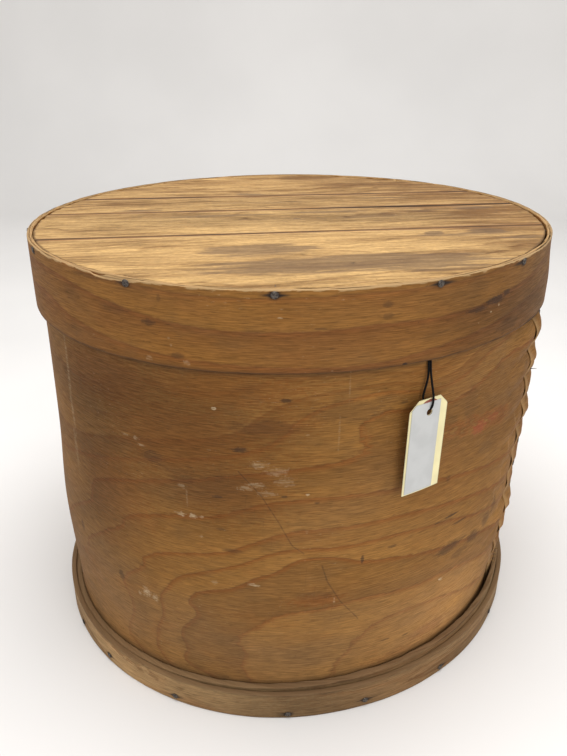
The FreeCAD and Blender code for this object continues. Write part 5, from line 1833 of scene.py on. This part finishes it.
class BOX_OT_stage(bpy.types.Operator):
    """Makes the floor, the soft lights and the camera"""

    bl_idname = "bentwood.stage"
    bl_label = "Stage"

    def execute(self, context):
        stage = context.scene.box_stage
        make_backdrop(tuple(stage.floor))
        world = bpy.data.worlds.new("studio")
        world.use_nodes = True
        background = world.node_tree.nodes["Background"]
        background.inputs["Color"].default_value = (1.0, 0.99, 0.975, 1.0)
        background.inputs["Strength"].default_value = stage.sky
        context.scene.world = world
        behind = outward(90 + CAMERA_HEADING)
        side = outward(CAMERA_HEADING)
        above = -behind * 0.1 + side * 0.02 + Vector((0, 0, 1.6))
        add_lamp("overhead", stage.key, (1.3, 1.0), above, (0, 0, 0.2))
        front = -behind * 1.5 + side * 1.0 + Vector((0, 0, 0.7))
        add_lamp("front", stage.fill, (0.9, 0.9), front, (0, 0, 0.15))
        camera = bpy.data.cameras.new("camera")
        camera.sensor_fit = "VERTICAL"
        camera.sensor_height = SENSOR
        camera.lens = LENS
        eye = new_piece("camera", camera)
        turn = Matrix.Rotation(math.radians(CAMERA_HEADING + CAMERA_YAW), 4, "Z")
        turn = turn @ Matrix.Rotation(math.radians(90 - CAMERA_PITCH), 4, "X")
        turn = turn @ Matrix.Rotation(math.radians(CAMERA_ROLL), 4, "Z")
        place = -behind * stage.camera_distance + Vector((0, 0, stage.camera_height))
        eye.matrix_world = Matrix.Translation(place) @ turn
        context.scene.camera = eye
        context.scene.view_settings.view_transform = "Standard"
        return {"FINISHED"}


class BOX_PT_panel(bpy.types.Panel):
    """Lists the box's pieces and their settings"""

    bl_idname = "BOX_PT_panel"
    bl_label = "Bentwood box"
    bl_space_type = "VIEW_3D"
    bl_region_type = "UI"
    bl_category = "Bentwood box"

    def draw(self, context):
        layout = self.layout
        for operator in OPERATORS:
            layout.operator(operator.bl_idname)
        for group in ("box_form", "box_colours", "box_stage"):
            settings = getattr(context.scene, group)
            column = layout.column()
            for name in settings.bl_rna.properties.keys():
                if name not in ("rna_type", "name"):
                    column.prop(settings, name)


OPERATORS = (BOX_OT_stage, BOX_OT_tag, BOX_OT_wall, BOX_OT_rim, BOX_OT_hoop, BOX_OT_boards, BOX_OT_fasteners)
CLASSES = (BoxForm, BoxColours, BoxStage, *OPERATORS, BOX_PT_panel)


def register():
    for item in CLASSES:
        bpy.utils.register_class(item)
    bpy.types.Scene.box_form = PointerProperty(type=BoxForm)
    bpy.types.Scene.box_colours = PointerProperty(type=BoxColours)
    bpy.types.Scene.box_stage = PointerProperty(type=BoxStage)


def unregister():
    del bpy.types.Scene.box_stage
    del bpy.types.Scene.box_colours
    del bpy.types.Scene.box_form
    for item in reversed(CLASSES):
        bpy.utils.unregister_class(item)


def main():
    register()
    bpy.ops.bentwood.stage()
    bpy.ops.bentwood.tag()
    bpy.ops.bentwood.wall()
    bpy.ops.bentwood.rim()
    bpy.ops.bentwood.hoop()
    bpy.ops.bentwood.boards()
    bpy.ops.bentwood.fasteners()
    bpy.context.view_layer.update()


if __name__ == "__main__":
    main()
